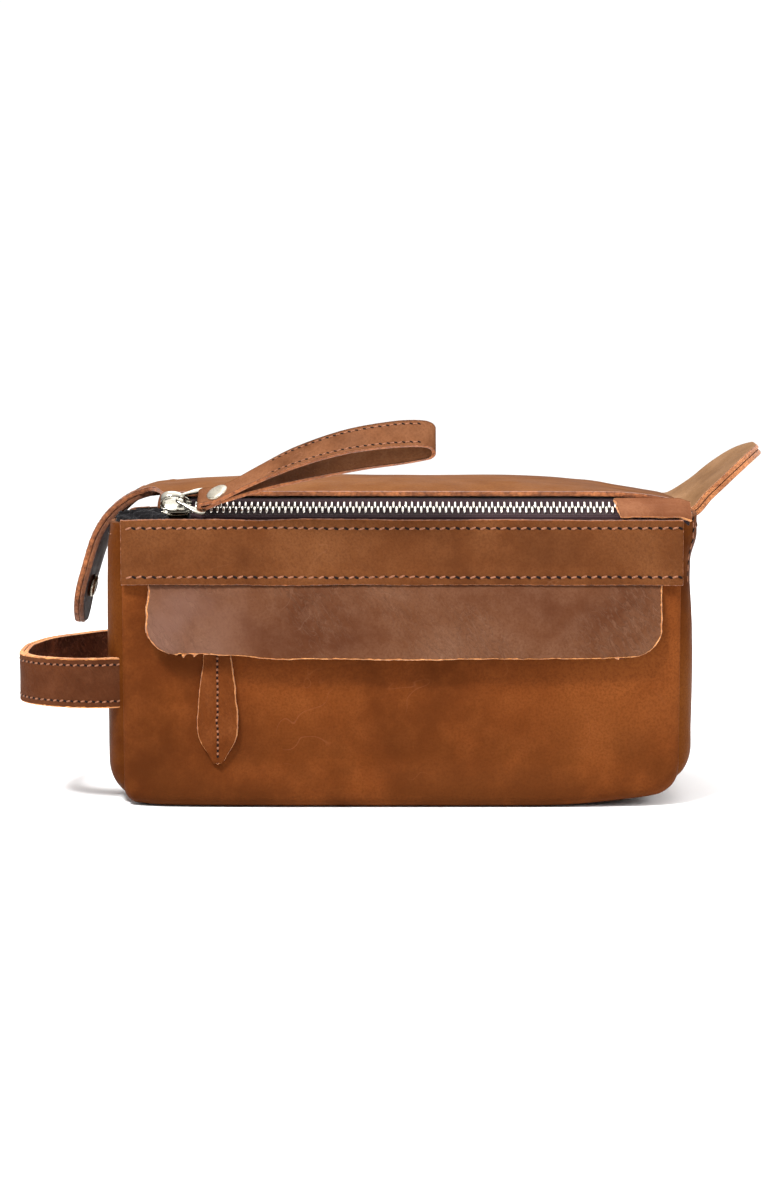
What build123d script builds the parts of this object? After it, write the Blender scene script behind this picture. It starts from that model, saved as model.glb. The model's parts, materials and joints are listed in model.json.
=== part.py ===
"""Leather shaving kit bag, millimetres. X runs along the bag, the front faces -Y, and it rests on z = 0."""

import math
import os

from build123d import *

# Body, outside sizes
LENGTH = 260.0
DEPTH = 116.0
BODY_HEIGHT = 131.0
LEATHER = 2.2
BASE_LEATHER = 2.4
BASE_CORNER = 8.0
HALF_LENGTH = LENGTH / 2
FRONT_Y = -DEPTH / 2
BACK_Y = DEPTH / 2
LEFT_BULGE = 6.6
RIGHT_BULGE = 3.5
LINING = 0.8
LINING_TOP = 126.0
LINING_FRONT_Y = -51.9
LINING_HALF_LENGTH = 127.2

# Facing strip along the top of the front
BAND_BOTTOM = 103.0
BAND_TOP = 132.2
BAND_THICKNESS = 2.0

# Front pocket
WINDOW_X = (-102.0, 102.0)
WINDOW_Z = (84.0, 92.0)
POCKET_ZIP_Z = 88.0
POCKET_CHAIN_Y = -55.35
POCKET_PITCH = 2.54
POCKET_TEETH_X = (-80.0, 98.0)
POUCH_Z = (14.0, 98.0)
POUCH_Y = (-52.8, -52.0)
POCKET_SLIDER_X = -85.3
FLAP_X = (-117.0, 118.0)
FLAP_Z = (70.0, 100.7)
FLAP_TOP_Y = -62.1
FLAP_BOTTOM_Y = -65.1
FLAP_CORNER = 13.0
LEAF_EYE_Y = -59.95

# Main zip: a tilted strip between the facing strip and the lid
ZIP_TILT = math.radians(40.0)
ZIP_Y = -52.0
ZIP_Z = 137.6
ZIP_PITCH = 2.83
ZIP_TEETH_X = (-97.0, 98.0)
TAPE = 0.6
TAPE_REACH = 5.9
TOOTH_TIP = 1.3
TOOTH_ROOT = 1.6
TOOTH_SPINE = 2.6
TOOTH_WIDTH = 1.2
TOOTH_HALF_HEIGHT = 1.2
SLIDER_X = (-110.0, -98.0)
SLIDER_HALF_WIDTH = 4.2
RING_NEAR_X = -102.7
RING_NEAR_W = 3.8
RING_FAR_X = -91.5
RING_FAR_W = 5.2
RING_WIRE = 0.85
RING_HALF_WIDTH = 7.3
STRAP_WIDTH = 12.0
STRAP_EYE = 1.25
RIVET_X = -84.0

# Lid, as crest height and front-edge height along X
LID_SECTIONS = (
    (-118.0, 146.2, 144.0),
    (-95.0, 148.2, 144.8),
    (-60.0, 149.4, 144.8),
    (0.0, 149.8, 144.8),
    (60.0, 149.6, 144.8),
    (90.0, 147.6, 144.6),
    (112.0, 144.4, 143.0),
    (131.8, 139.4, 137.6),
)
LID_FRONT_Y = -47.5
LID_HINGE_Z = 131.6

# End flaps
FLAP_HALF_WIDTH = 25.0
EAR_HALF_WIDTH = 22.0
PLY = 2.3
EAR_HINGE = (134.8, 138.0)
EAR_LENGTH = 46.0
EAR_ANGLE = math.radians(38.0)
LEFT_SNAP_Z = 98.0
RIGHT_SNAP_Z = 102.0

# Side handle
HANDLE_Z = (45.0, 68.5)
HANDLE_PLY = 2.2
HANDLE_PATH = (
    (-135.8, -58.3),
    (-145.0, -58.3),
    (-157.0, -56.4),
    (-170.0, -50.0),
    (-177.2, -41.0),
    (-178.6, -28.0),
    (-177.6, -12.0),
    (-170.5, 12.0),
    (-160.5, 36.0),
    (-151.0, 53.0),
    (-143.5, 58.7),
    (-135.8, 58.9),
)


def block(x_span, y_span, z_span):
    """Box between three spans."""
    size = (x_span[1] - x_span[0], y_span[1] - y_span[0], z_span[1] - z_span[0])
    middle = (sum(x_span) / 2, sum(y_span) / 2, sum(z_span) / 2)
    return Pos(*middle) * Box(*size)


def polygon(points):
    """Flat face through points in space."""
    return make_face(Polyline(*points, close=True))


def prism(points, direction, length):
    """Face through points, drawn out along a direction."""
    return extrude(polygon(points), amount=length, dir=direction)


def smooth(points, steps=4):
    """Points along a smooth curve through the given ones."""
    ends = [points[0], *points, points[-1]]
    result = []
    for start, a, b, end in zip(ends, ends[1:], ends[2:], ends[3:]):
        for step in range(steps):
            t = step / steps
            result.append(
                tuple(
                    0.5
                    * (
                        2 * q
                        + (r - p) * t
                        + (2 * p - 5 * q + 4 * r - s) * t**2
                        + (3 * q - p - 3 * r + s) * t**3
                    )
                    for p, q, r, s in zip(start, a, b, end)
                )
            )
    result.append(tuple(points[-1]))
    return result


def offset_points(points, distance):
    """Points moved sideways from an open path, to its left."""
    moved = []
    for index, (x, y) in enumerate(points):
        before = points[max(index - 1, 0)]
        after = points[min(index + 1, len(points) - 1)]
        run = (after[0] - before[0], after[1] - before[1])
        length = math.hypot(*run)
        moved.append((x - run[1] / length * distance, y + run[0] / length * distance))
    return moved


def ribbon(points, near, far):
    """Outline of the strip between two sideways offsets of a path."""
    return offset_points(points, near) + offset_points(points, far)[::-1]


def zip_point(x, across, up):
    """Point in the tilted frame of the main zip."""
    y = ZIP_Y + across * math.cos(ZIP_TILT) - up * math.sin(ZIP_TILT)
    z = ZIP_Z + across * math.sin(ZIP_TILT) + up * math.cos(ZIP_TILT)
    return (x, y, z)


ACROSS = (0, math.cos(ZIP_TILT), math.sin(ZIP_TILT))
UP = (0, -math.sin(ZIP_TILT), math.cos(ZIP_TILT))


def zip_prism(outline, low, high):
    """Outline in x and across, drawn out along the zip's up direction."""
    return prism([zip_point(x, across, low) for x, across in outline], UP, high - low)


def zip_block(x_span, across_span, up_span):
    """Box in the tilted frame of the main zip."""
    corners = [
        (x_span[0], across_span[0]),
        (x_span[1], across_span[0]),
        (x_span[1], across_span[1]),
        (x_span[0], across_span[1]),
    ]
    return zip_prism(corners, *up_span)


def comb(x_span, pitch, shift, side):
    """Outline of one row of teeth on its cord, in x and across."""
    count = int((x_span[1] - x_span[0] - TOOTH_WIDTH - shift) / pitch) + 1
    outline = [(x_span[0], side * TOOTH_SPINE), (x_span[0], side * TOOTH_ROOT)]
    for index in range(count):
        left = x_span[0] + shift + index * pitch
        right = left + TOOTH_WIDTH
        if left > x_span[0]:
            outline.append((left, side * TOOTH_ROOT))
        outline.append((left, -side * TOOTH_TIP))
        outline.append((right, -side * TOOTH_TIP))
        outline.append((right, side * TOOTH_ROOT))
    outline.append((x_span[1], side * TOOTH_ROOT))
    outline.append((x_span[1], side * TOOTH_SPINE))
    return outline


def flat_comb(shift, side):
    """One row of pocket teeth, upright behind the window."""
    outline = comb(POCKET_TEETH_X, POCKET_PITCH, shift, side)
    face = [(x, POCKET_CHAIN_Y - 1.1, POCKET_ZIP_Z + across) for x, across in outline]
    return prism(face, (0, 1, 0), 2.2)


def front_panel():
    """Front wall with the slot for the pocket zip."""
    wall = block((-HALF_LENGTH, HALF_LENGTH), (FRONT_Y, FRONT_Y + LEATHER), (BASE_LEATHER, BODY_HEIGHT))
    slot = block(WINDOW_X, (FRONT_Y - 1, FRONT_Y + LEATHER + 1), WINDOW_Z)
    return wall - slot


def back_panel():
    """Back wall."""
    return block((-HALF_LENGTH, HALF_LENGTH), (BACK_Y - LEATHER, BACK_Y), (BASE_LEATHER, BODY_HEIGHT))


def base_panel():
    """Flat bottom; its ends curve up towards the end walls."""
    half = HALF_LENGTH - BASE_CORNER / 2
    outline = [
        (-half + 3, 0),
        (half - 3, 0),
        (half, 0.5),
        (HALF_LENGTH, BASE_LEATHER),
        (-HALF_LENGTH, BASE_LEATHER),
        (-half, 0.5),
    ]
    return prism([(x, FRONT_Y, z) for x, z in outline], (0, 1, 0), DEPTH)


def gusset(side, bulge):
    """End wall that swells outwards."""
    steps = 12
    outer = []
    for index in range(steps + 1):
        t = index / steps
        z = BASE_LEATHER + 0.1 + t * (BODY_HEIGHT - BASE_LEATHER - 0.1)
        outer.append((HALF_LENGTH + bulge * 4 * t * (1 - t), z))
    inner = [(x - LEATHER, z) for x, z in outer][::-1]
    face = [(side * x, FRONT_Y + LEATHER, z) for x, z in outer + inner]
    return prism(face, (0, 1, 0), DEPTH - 2 * LEATHER)


def front_band():
    """Strip sewn along the top of the front."""
    return block((-HALF_LENGTH, HALF_LENGTH), (FRONT_Y - BAND_THICKNESS, FRONT_Y), (BAND_BOTTOM, BAND_TOP))


def body_lining():
    """Open-topped cloth box inside the body."""
    back = BACK_Y - LEATHER - 0.2
    floor = BASE_LEATHER + 0.2
    side = LINING_HALF_LENGTH
    outer = block((-side, side), (LINING_FRONT_Y, back), (floor, LINING_TOP))
    inner = block(
        (-side + LINING, side - LINING),
        (LINING_FRONT_Y + LINING, back - LINING),
        (floor + LINING, LINING_TOP + 1),
    )
    return outer - inner


def pocket_pouch():
    """Cloth pouch of the front pocket, lying flat."""
    return block((-108, 108), POUCH_Y, POUCH_Z)


def pocket_tape(side):
    """Half of the pocket zip's tape, behind the slot."""
    near = POCKET_ZIP_Z + side * (TOOTH_SPINE + 0.1)
    far = POCKET_ZIP_Z + side * 9.0
    return block((-103, 103), (FRONT_Y + LEATHER, FRONT_Y + LEATHER + 0.5), tuple(sorted((near, far))))


def pocket_stops():
    """Metal stops at the closed end of the pocket zip."""
    low = block((-101, -99), (POCKET_CHAIN_Y - 1, POCKET_CHAIN_Y + 1), (POCKET_ZIP_Z - 2.6, POCKET_ZIP_Z - 0.4))
    high = block((-101, -99), (POCKET_CHAIN_Y - 1, POCKET_CHAIN_Y + 1), (POCKET_ZIP_Z + 0.4, POCKET_ZIP_Z + 2.6))
    return low + high


def pocket_slider():
    """Pocket slider: two plates, a wedge and an arch for the puller."""
    x0 = POCKET_SLIDER_X - 4.8
    x1 = POCKET_SLIDER_X + 4.8
    z_span = (POCKET_ZIP_Z - 3.6, POCKET_ZIP_Z + 3.6)
    front = block((x0, x1), (-57.9, -56.9), z_span)
    back = block((x0, x1), (-53.8, -53.0), z_span)
    wedge = block((x0, x0 + 2.2), (-56.9, -53.8), (POCKET_ZIP_Z - 1.2, POCKET_ZIP_Z + 1.2))
    bar = block((POCKET_SLIDER_X - 4.4, POCKET_SLIDER_X + 4.4), (-60.4, -59.5), (87.1, 88.9))
    post_a = block((POCKET_SLIDER_X - 4.4, POCKET_SLIDER_X - 3.2), (-59.5, -57.9), (87.1, 88.9))
    post_b = block((POCKET_SLIDER_X + 3.2, POCKET_SLIDER_X + 4.4), (-59.5, -57.9), (87.1, 88.9))
    return front + back + wedge + bar + post_a + post_b


def leaf_outline():
    """Half outline of the leather leaf, as distance below the eye and half width."""
    return (
        (2.0, 2.6),
        (8.0, 4.4),
        (18.0, 6.0),
        (30.0, 7.2),
        (42.0, 8.6),
        (49.0, 9.0),
        (55.0, 8.4),
        (61.0, 6.2),
        (65.5, 3.2),
        (68.0, 0.8),
    )


def pocket_leaf():
    """Leaf-shaped puller with an eye round the slider's arch."""
    half = leaf_outline()
    right = [(POCKET_SLIDER_X + w, -61.6, POCKET_ZIP_Z - d) for d, w in half]
    left = [(POCKET_SLIDER_X - w, -61.6, POCKET_ZIP_Z - d) for d, w in reversed(half)]
    blade = prism(right + left, (0, 1, 0), 3.2)
    turn = Pos(POCKET_SLIDER_X, LEAF_EYE_Y, POCKET_ZIP_Z) * Rot(0, 90, 0)
    eye = turn * Cylinder(1.9, 5.2)
    hole = turn * Cylinder(1.1, 12)
    neck = block(
        (POCKET_SLIDER_X - 2.6, POCKET_SLIDER_X + 2.6),
        (-61.4, -58.5),
        (POCKET_ZIP_Z - 3.5, POCKET_ZIP_Z - 1.2),
    )
    return (blade + neck + eye) - hole


def pocket_flap():
    """Flap over the pocket zip, standing slightly off the front."""
    x0, x1 = FLAP_X
    low, high = FLAP_Z
    outline = [(x0, high), (x1, high)]
    for centre_x, first in ((x1 - FLAP_CORNER, 0), (x0 + FLAP_CORNER, -90)):
        for step in range(7):
            angle = math.radians(first - step * 15)
            x = centre_x + FLAP_CORNER * math.cos(angle)
            outline.append((x, low + FLAP_CORNER + FLAP_CORNER * math.sin(angle)))
    slope = (FLAP_BOTTOM_Y - FLAP_TOP_Y) / (low - high)
    face = [(x, FLAP_TOP_Y - LEATHER / 2 + (z - high) * slope, z) for x, z in outline]
    return prism(face, (0, 1, 0), LEATHER)


def tooth_row(side, shift):
    """One row of the main zip's teeth."""
    outline = comb(ZIP_TEETH_X, ZIP_PITCH, shift, side)
    return zip_prism(outline, -TOOTH_HALF_HEIGHT, TOOTH_HALF_HEIGHT)


def zip_tape(side, last_x):
    """Half of the main zip's tape, from its cord outwards."""
    span = tuple(sorted((side * (TOOTH_SPINE + 0.1), side * TAPE_REACH)))
    return zip_block((-97.4, last_x), span, (-TAPE / 2, TAPE / 2))


def zip_tail():
    """Loose end of the tape beyond the slider."""
    return zip_block((-134.0, -111.4), (-5.0, 5.2), (-0.8, 0.6))


def zip_end_tab():
    """Leather tab over the fixed end of the zip."""
    outline = [(99.0, -6.2), (131.6, -6.2), (131.6, 4.4), (104.0, 4.4), (99.0, 2.4)]
    return zip_prism(outline, 0.4, 2.2)


def zip_slider():
    """Main slider: plates with flanges, a wedge and an arch for the ring."""
    half = SLIDER_HALF_WIDTH
    top = zip_block(SLIDER_X, (-half, half), (1.6, 2.6))
    bottom = zip_block(SLIDER_X, (-half, half), (-2.4, -1.5))
    wedge = zip_block((SLIDER_X[0], SLIDER_X[0] + 2.6), (-1.4, 1.4), (-1.5, 1.6))
    body = top + bottom + wedge
    for side in (-1, 1):
        span = tuple(sorted((side * (half - 0.8), side * half)))
        body += zip_block(SLIDER_X, span, (0.6, 1.6))
        body += zip_block(SLIDER_X, span, (-1.5, -0.6))
    body += zip_block((-108.2, -106.8), (-1.1, 1.1), (2.6, 6.0))
    body += zip_block((-101.2, -99.9), (-1.1, 1.1), (2.6, 6.0))
    body += zip_block((-108.2, -99.9), (-1.1, 1.1), (5.0, 6.0))
    return body


def cross_wire(x, up, reach, radius):
    """Round wire lying across the zip."""
    start = Vector(*zip_point(x, -reach, up))
    plane = Plane(origin=start, z_dir=ACROSS)
    return extrude(plane * Circle(radius), amount=2 * reach)


def zip_ring():
    """Rectangular wire ring through the slider's arch."""
    near = cross_wire(RING_NEAR_X, RING_NEAR_W, RING_HALF_WIDTH + RING_WIRE, RING_WIRE)
    far = cross_wire(RING_FAR_X, RING_FAR_W, RING_HALF_WIDTH + RING_WIRE, RING_WIRE)
    ring = near + far
    for side in (-1, 1):
        a = Vector(*zip_point(RING_NEAR_X, side * RING_HALF_WIDTH, RING_NEAR_W))
        b = Vector(*zip_point(RING_FAR_X, side * RING_HALF_WIDTH, RING_FAR_W))
        run = b - a
        ring += extrude(Plane(origin=a, z_dir=run) * Circle(RING_WIRE), amount=run.length)
    return ring


STRAP_OUTER = (
    (-94.6, 6.6),
    (-92.0, 8.6),
    (-84.0, 9.4),
    (-76.0, 14.8),
    (-66.0, 21.6),
    (-48.0, 33.0),
    (-27.0, 41.6),
    (-6.0, 45.8),
    (8.0, 46.4),
    (13.0, 44.8),
    (15.0, 41.2),
    (13.0, 37.8),
    (8.0, 36.0),
    (-20.0, 29.8),
    (-50.0, 20.4),
    (-74.0, 8.8),
    (-83.0, 4.4),
    (-89.0, 2.2),
    (-92.0, 1.8),
    (-94.6, 3.6),
)
STRAP_INNER = (
    (-72.0, 14.6),
    (-64.0, 20.0),
    (-47.0, 30.8),
    (-26.0, 39.2),
    (-5.5, 43.4),
    (8.0, 44.0),
    (12.0, 42.4),
    (12.0, 40.0),
    (7.6, 38.4),
    (-20.6, 32.2),
    (-51.0, 22.7),
    (-66.0, 15.6),
)


def wrist_strap():
    """Leather loop with an eye round the ring's far wire."""
    half = STRAP_WIDTH / 2
    outer = prism([zip_point(x, -half, up) for x, up in STRAP_OUTER], ACROSS, STRAP_WIDTH)
    inner = prism([zip_point(x, -half - 1, up) for x, up in STRAP_INNER], ACROSS, STRAP_WIDTH + 2)
    eye = cross_wire(RING_FAR_X, RING_FAR_W, half + 1, STRAP_EYE)
    return outer - inner - eye


def strap_rivet():
    """Two-part rivet through both strands, with a low domed cap on each side."""
    slope = math.atan2(14.8 - 9.4, 8.0)
    foot = (RIVET_X + 3.4, 12.7)
    normal = (-math.sin(slope), math.cos(slope))
    direction = Vector(*zip_point(normal[0], 0, normal[1])) - Vector(*zip_point(0, 0, 0))
    origin = Vector(*zip_point(foot[0], 0, foot[1]))
    cap = extrude(Plane(origin=origin, z_dir=direction) * Circle(5.2), amount=1.1)
    return cap


def lid_profile(crest, front, inset):
    """Cross-section of the lid's skin in y and z, moved inwards by inset."""
    drop = crest - LID_HINGE_Z
    path = [
        (LID_FRONT_Y, front),
        (-36.0, front + 0.62 * (crest - front)),
        (-20.0, crest - 0.2),
        (0.0, crest),
        (20.0, crest),
        (40.0, LID_HINGE_Z + 0.86 * drop),
        (52.0, LID_HINGE_Z + 0.52 * drop),
        (BACK_Y, LID_HINGE_Z),
    ]
    return [*offset_points(smooth(path, 3), -inset)[:-1], (BACK_Y - inset, LID_HINGE_Z)]


def lid_skin(outer, inner, margin, kept):
    """Loft of the lid's skin between two insets, over the kept points of its profile."""
    faces = []
    for index, (x, crest, front) in enumerate(LID_SECTIONS):
        if index == 0:
            x = x + margin
        if index == len(LID_SECTIONS) - 1:
            x = x - margin
        outline = lid_profile(crest, front, outer)[kept] + lid_profile(crest, front, inner)[kept][::-1]
        faces.append(polygon([(x, y, z) for y, z in outline]))
    return loft(faces, ruled=True)


LEFT_FLAP_PATH = (
    (-119.6, 145.8),
    (-127.4, 142.9),
    (-134.6, 138.3),
    (-141.4, 131.6),
    (-147.2, 121.6),
    (-151.6, 108.0),
    (-155.2, 94.0),
    (-157.0, 80.0),
)


def left_flap_ply(near, far):
    """One ply of the left end flap, narrowed to a rounded end."""
    outline = ribbon(smooth(LEFT_FLAP_PATH, 3), near, far)
    strip = prism([(x, -FLAP_HALF_WIDTH, z) for x, z in outline], (0, 1, 0), 2 * FLAP_HALF_WIDTH)
    w = FLAP_HALF_WIDTH
    side_view = [
        (-w, 150), (w, 150), (w, 100), (w - 3, 90), (w - 9, 83), (w - 17, 78),
        (-w + 17, 78), (-w + 9, 83), (-w + 3, 90), (-w, 100),
    ]
    trim = prism([(-165, y, z) for y, z in side_view], (1, 0, 0), 60)
    return strip & trim


def ear_ply(low, high):
    """One ply of the right end flap, narrowed to a rounded end."""
    w = EAR_HALF_WIDTH
    outline = [
        (0.4, -w), (22, -w), (33, -w + 3.5), (41, -w + 10), (EAR_LENGTH, -4),
        (EAR_LENGTH, 4), (41, w - 10), (33, w - 3.5), (22, w), (0.4, w),
    ]
    along = (math.cos(EAR_ANGLE), math.sin(EAR_ANGLE))
    normal = (-along[1], 0, along[0])
    points = []
    for distance, y in outline:
        x = EAR_HINGE[0] + along[0] * distance + normal[0] * low
        z = EAR_HINGE[1] + along[1] * distance + normal[2] * low
        points.append((x, y, z))
    return prism(points, normal, high - low)


def ear_disc(distance, radius, low, high):
    """Disc on the right end flap, low and high measured from its middle."""
    along = (math.cos(EAR_ANGLE), math.sin(EAR_ANGLE))
    normal = (-along[1], 0, along[0])
    x = EAR_HINGE[0] + along[0] * distance + normal[0] * low
    z = EAR_HINGE[1] + along[1] * distance + normal[2] * low
    return extrude(Plane(origin=(x, 0, z), z_dir=normal) * Circle(radius), amount=high - low)


LEFT_DISC_X = -154.4
LEFT_DISC_SLOPE = math.radians(12.5)


def left_disc(radius, low, high):
    """Disc on the left end flap, low and high measured outwards from its outer face."""
    normal = (-math.cos(LEFT_DISC_SLOPE), 0, math.sin(LEFT_DISC_SLOPE))
    x = LEFT_DISC_X + normal[0] * low
    z = LEFT_SNAP_Z + normal[2] * low
    return extrude(Plane(origin=(x, 0, z), z_dir=normal) * Circle(radius), amount=high - low)


def wall_x(bulge, z):
    """Distance of an end wall's outer face from the middle at a height."""
    t = (z - BASE_LEATHER - 0.1) / (BODY_HEIGHT - BASE_LEATHER - 0.1)
    return HALF_LENGTH + bulge * 4 * t * (1 - t)


def stud(side, bulge, z, inner):
    """Snap stud on an end wall, or the washer behind it."""
    x = wall_x(bulge, z) + 0.4
    if inner:
        start = x - LEATHER - 1.7
        return Pos(side * (start + 0.25), 0, z) * Rot(0, 90, 0) * Cylinder(5.0, 0.5)
    disc = Pos(side * (x + 0.7), 0, z) * Rot(0, 90, 0) * Cylinder(5.0, 1.0)
    post = Pos(side * (x + 1.7), 0, z) * Rot(0, 90, 0) * Cylinder(2.0, 1.2)
    return disc + post


def snap_studs(inner):
    """Both snap studs, or both washers behind them."""
    left = stud(-1, LEFT_BULGE, LEFT_SNAP_Z, inner)
    right = stud(1, RIGHT_BULGE, RIGHT_SNAP_Z, inner)
    return Compound(children=[left, right])


def handle_ply(near, far):
    """One ply of the side handle."""
    outline = ribbon(smooth(HANDLE_PATH, 3), near, far)
    return prism([(x, y, HANDLE_Z[0]) for x, y in outline], (0, 0, 1), HANDLE_Z[1] - HANDLE_Z[0])


def save(node, shape):
    """Write one node's STEP file."""
    export_step(shape, f"parts/{node}.step")


os.makedirs("parts", exist_ok=True)
save("front_panel", front_panel())
save("back_panel", back_panel())
save("base_panel", base_panel())
save("left_gusset", gusset(-1, LEFT_BULGE))
save("right_gusset", gusset(1, RIGHT_BULGE))
save("front_band", front_band())
save("body_lining", body_lining())
save("pocket_pouch", pocket_pouch())
save("pocket_tape_upper", pocket_tape(1))
save("pocket_tape_lower", pocket_tape(-1))
save("pocket_teeth_upper", flat_comb(0.0, 1))
save("pocket_teeth_lower", flat_comb(POCKET_PITCH / 2, -1))
save("pocket_zip_stops", pocket_stops())
save("pocket_slider", pocket_slider())
save("pocket_leaf", pocket_leaf())
save("pocket_flap", pocket_flap())
save("zip_front_tape", zip_tape(-1, 131.0))
save("zip_rear_tape", zip_tape(1, 98.6))
save("zip_front_teeth", tooth_row(-1, 0.0))
save("zip_rear_teeth", tooth_row(1, ZIP_PITCH / 2))
save("zip_tail", zip_tail())
save("zip_end_tab", zip_end_tab())
save("zip_slider", zip_slider())
save("zip_ring", zip_ring())
save("wrist_strap", wrist_strap())
save("strap_rivet", strap_rivet())
save("lid_panel", lid_skin(0.0, LEATHER, 0.0, slice(None)))
save("lid_lining", lid_skin(LEATHER + 0.05, LEATHER + 0.65, 1.0, slice(1, -4)))
save("left_flap_outer", left_flap_ply(0.0, PLY))
save("left_flap_inner", left_flap_ply(PLY + 0.1, 2 * PLY + 0.1))
save("left_snap_socket", left_disc(5.4, -2 * PLY - 2.8, -2 * PLY - 0.6))
save("right_flap_outer", ear_ply(0.05, PLY))
save("right_flap_inner", ear_ply(-PLY, -0.05))
save("right_snap_socket", ear_disc(34.0, 5.0, -PLY - 0.85, -PLY - 0.05))
save("snap_studs", snap_studs(False))
save("snap_washers", snap_studs(True))
save("handle_outer", handle_ply(0.05, HANDLE_PLY))
save("handle_inner", handle_ply(-HANDLE_PLY, -0.05))
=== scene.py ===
import json
import math

import bpy
import numpy as np
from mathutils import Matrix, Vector


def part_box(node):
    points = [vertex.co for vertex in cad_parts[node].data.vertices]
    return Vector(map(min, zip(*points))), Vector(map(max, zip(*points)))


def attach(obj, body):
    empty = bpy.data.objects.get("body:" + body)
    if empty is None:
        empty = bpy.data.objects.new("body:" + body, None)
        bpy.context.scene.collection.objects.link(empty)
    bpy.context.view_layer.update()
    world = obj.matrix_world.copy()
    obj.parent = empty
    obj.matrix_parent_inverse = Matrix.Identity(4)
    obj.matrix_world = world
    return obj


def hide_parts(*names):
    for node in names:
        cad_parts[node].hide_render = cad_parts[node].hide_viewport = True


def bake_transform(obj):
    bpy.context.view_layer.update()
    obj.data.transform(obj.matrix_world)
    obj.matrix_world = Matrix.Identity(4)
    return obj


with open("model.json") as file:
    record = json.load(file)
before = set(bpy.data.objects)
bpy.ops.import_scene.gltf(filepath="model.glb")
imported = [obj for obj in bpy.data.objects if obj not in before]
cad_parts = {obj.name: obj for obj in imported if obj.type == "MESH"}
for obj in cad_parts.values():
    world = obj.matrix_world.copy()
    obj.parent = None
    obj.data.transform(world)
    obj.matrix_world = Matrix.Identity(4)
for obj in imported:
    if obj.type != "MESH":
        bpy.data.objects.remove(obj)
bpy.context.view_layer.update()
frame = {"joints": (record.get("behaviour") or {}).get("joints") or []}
MM = 0.001
FRONT, TOP, LEFT = (0, -1, 0), (0, 0, 1), (-1, 0, 0)
SEAM = 4.6  # distance of the stitches in the body's seams, mm

# Main zip frame, read from the record: x along the bag, s across the zip, w up from it
JOINTS = {j["name"]: j for j in frame["joints"]}
ring_axis = JOINTS["ring_turn"]["axis"]
ACROSS = np.array([0.0, -ring_axis[1], -ring_axis[2]])
UP = np.array([0.0, -ACROSS[2], ACROSS[1]])
RING_NEAR = np.array(JOINTS["ring_turn"]["pos_m"]) / MM
RING_FAR = np.array(JOINTS["wrist_loop_turn"]["pos_m"]) / MM
ZIP_MID = RING_NEAR - 3.8 * UP
ZIP_MID[0] = 0.0


def span(node):
    """Low and high corner of a CAD node, in mm."""
    low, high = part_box(node)
    return np.array(low) / MM, np.array(high) / MM


def even(count):
    """Evenly spaced values from 0 to 1."""
    return np.linspace(0, 1, count)


def zip_at(x, s, w):
    """Points in the tilted zip frame, in mm."""
    x, s, w = np.broadcast_arrays(np.asarray(x, float), np.asarray(s, float), np.asarray(w, float))
    point = ZIP_MID + s[..., None] * ACROSS + w[..., None] * UP
    point[..., 0] = x
    return point


# ---------------------------------------------------------------- noise and curves
def lattice(ix, iy, seed):
    h = (ix * 374761393 + iy * 668265263 + seed * 144269504) & 0xFFFFFFFF
    h = ((h ^ (h >> 13)) * 1274126177) & 0xFFFFFFFF
    return ((h ^ (h >> 16)) & 0xFFFFFF) / float(0xFFFFFF) * 2 - 1


def noise2(x, y, seed=0):
    """Smooth noise from -1 to 1."""
    x, y = np.broadcast_arrays(np.asarray(x, float), np.asarray(y, float))
    ix, iy = np.floor(x).astype(np.int64), np.floor(y).astype(np.int64)
    fx, fy = x - ix, y - iy
    fx, fy = fx * fx * (3 - 2 * fx), fy * fy * (3 - 2 * fy)
    low = lattice(ix, iy, seed) * (1 - fx) + lattice(ix + 1, iy, seed) * fx
    high = lattice(ix, iy + 1, seed) * (1 - fx) + lattice(ix + 1, iy + 1, seed) * fx
    return low * (1 - fy) + high * fy


def fbm(x, y, seed=0, octaves=3):
    """Noise with finer layers on it, each half as strong."""
    total, size = 0.0, 1.0
    for octave in range(octaves):
        total = total + size * noise2(x * 2**octave, y * 2**octave, seed + octave * 17)
        size *= 0.5
    return total


def step(a, b, x):
    """Smooth step from 0 at a to 1 at b."""
    t = np.clip((x - a) / (b - a), 0, 1)
    return t * t * (3 - 2 * t)


def curve(points, count):
    """Evenly spaced points on a smooth curve through the given ones."""
    p = np.array(points, float)
    p = np.vstack([2 * p[0] - p[1], p, 2 * p[-1] - p[-2]])
    dense = []
    for i in range(1, len(p) - 2):
        for t in np.linspace(0, 1, 24, endpoint=False):
            a, b, c, d = p[i - 1 : i + 3]
            square, cube = 2 * a - 5 * b + 4 * c - d, 3 * b - a - 3 * c + d
            dense.append(0.5 * (2 * b + (c - a) * t + square * t**2 + cube * t**3))
    dense.append(p[-2])
    dense = np.array(dense)
    run = arc(dense)
    return at(dense, np.linspace(0, run[-1], count), run).T


def arc(points):
    """Distance along a line at each of its points."""
    return np.concatenate([[0], np.cumsum(np.linalg.norm(np.diff(points, axis=0), axis=1))])


def at(line, where, run=None):
    """Coordinates of a line where its index, or run if given, has the value where."""
    run = np.arange(len(line)) if run is None else run
    return np.array([np.interp(where, run, line[:, k]) for k in range(line.shape[1])])


def unit(v):
    """Vectors of length one."""
    return v / np.maximum(np.linalg.norm(v, axis=-1, keepdims=True), 1e-9)


# ---------------------------------------------------------------- meshes
def make(name, verts, faces, mats, indices=None):
    """A smooth mesh object; verts are in mm, indices say which material each face has."""
    mesh = bpy.data.meshes.new(name)
    mesh.from_pydata((np.asarray(verts) * MM).tolist(), [], [list(map(int, f)) for f in faces])
    mesh.validate()
    for mat in mats:
        mesh.materials.append(mat)
    if indices is not None:
        mesh.polygons.foreach_set("material_index", np.asarray(indices, np.int32))
    mesh.polygons.foreach_set("use_smooth", np.ones(len(mesh.polygons), bool))
    mesh.update()
    obj = bpy.data.objects.new(name, mesh)
    bpy.context.scene.collection.objects.link(obj)
    return obj


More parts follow.
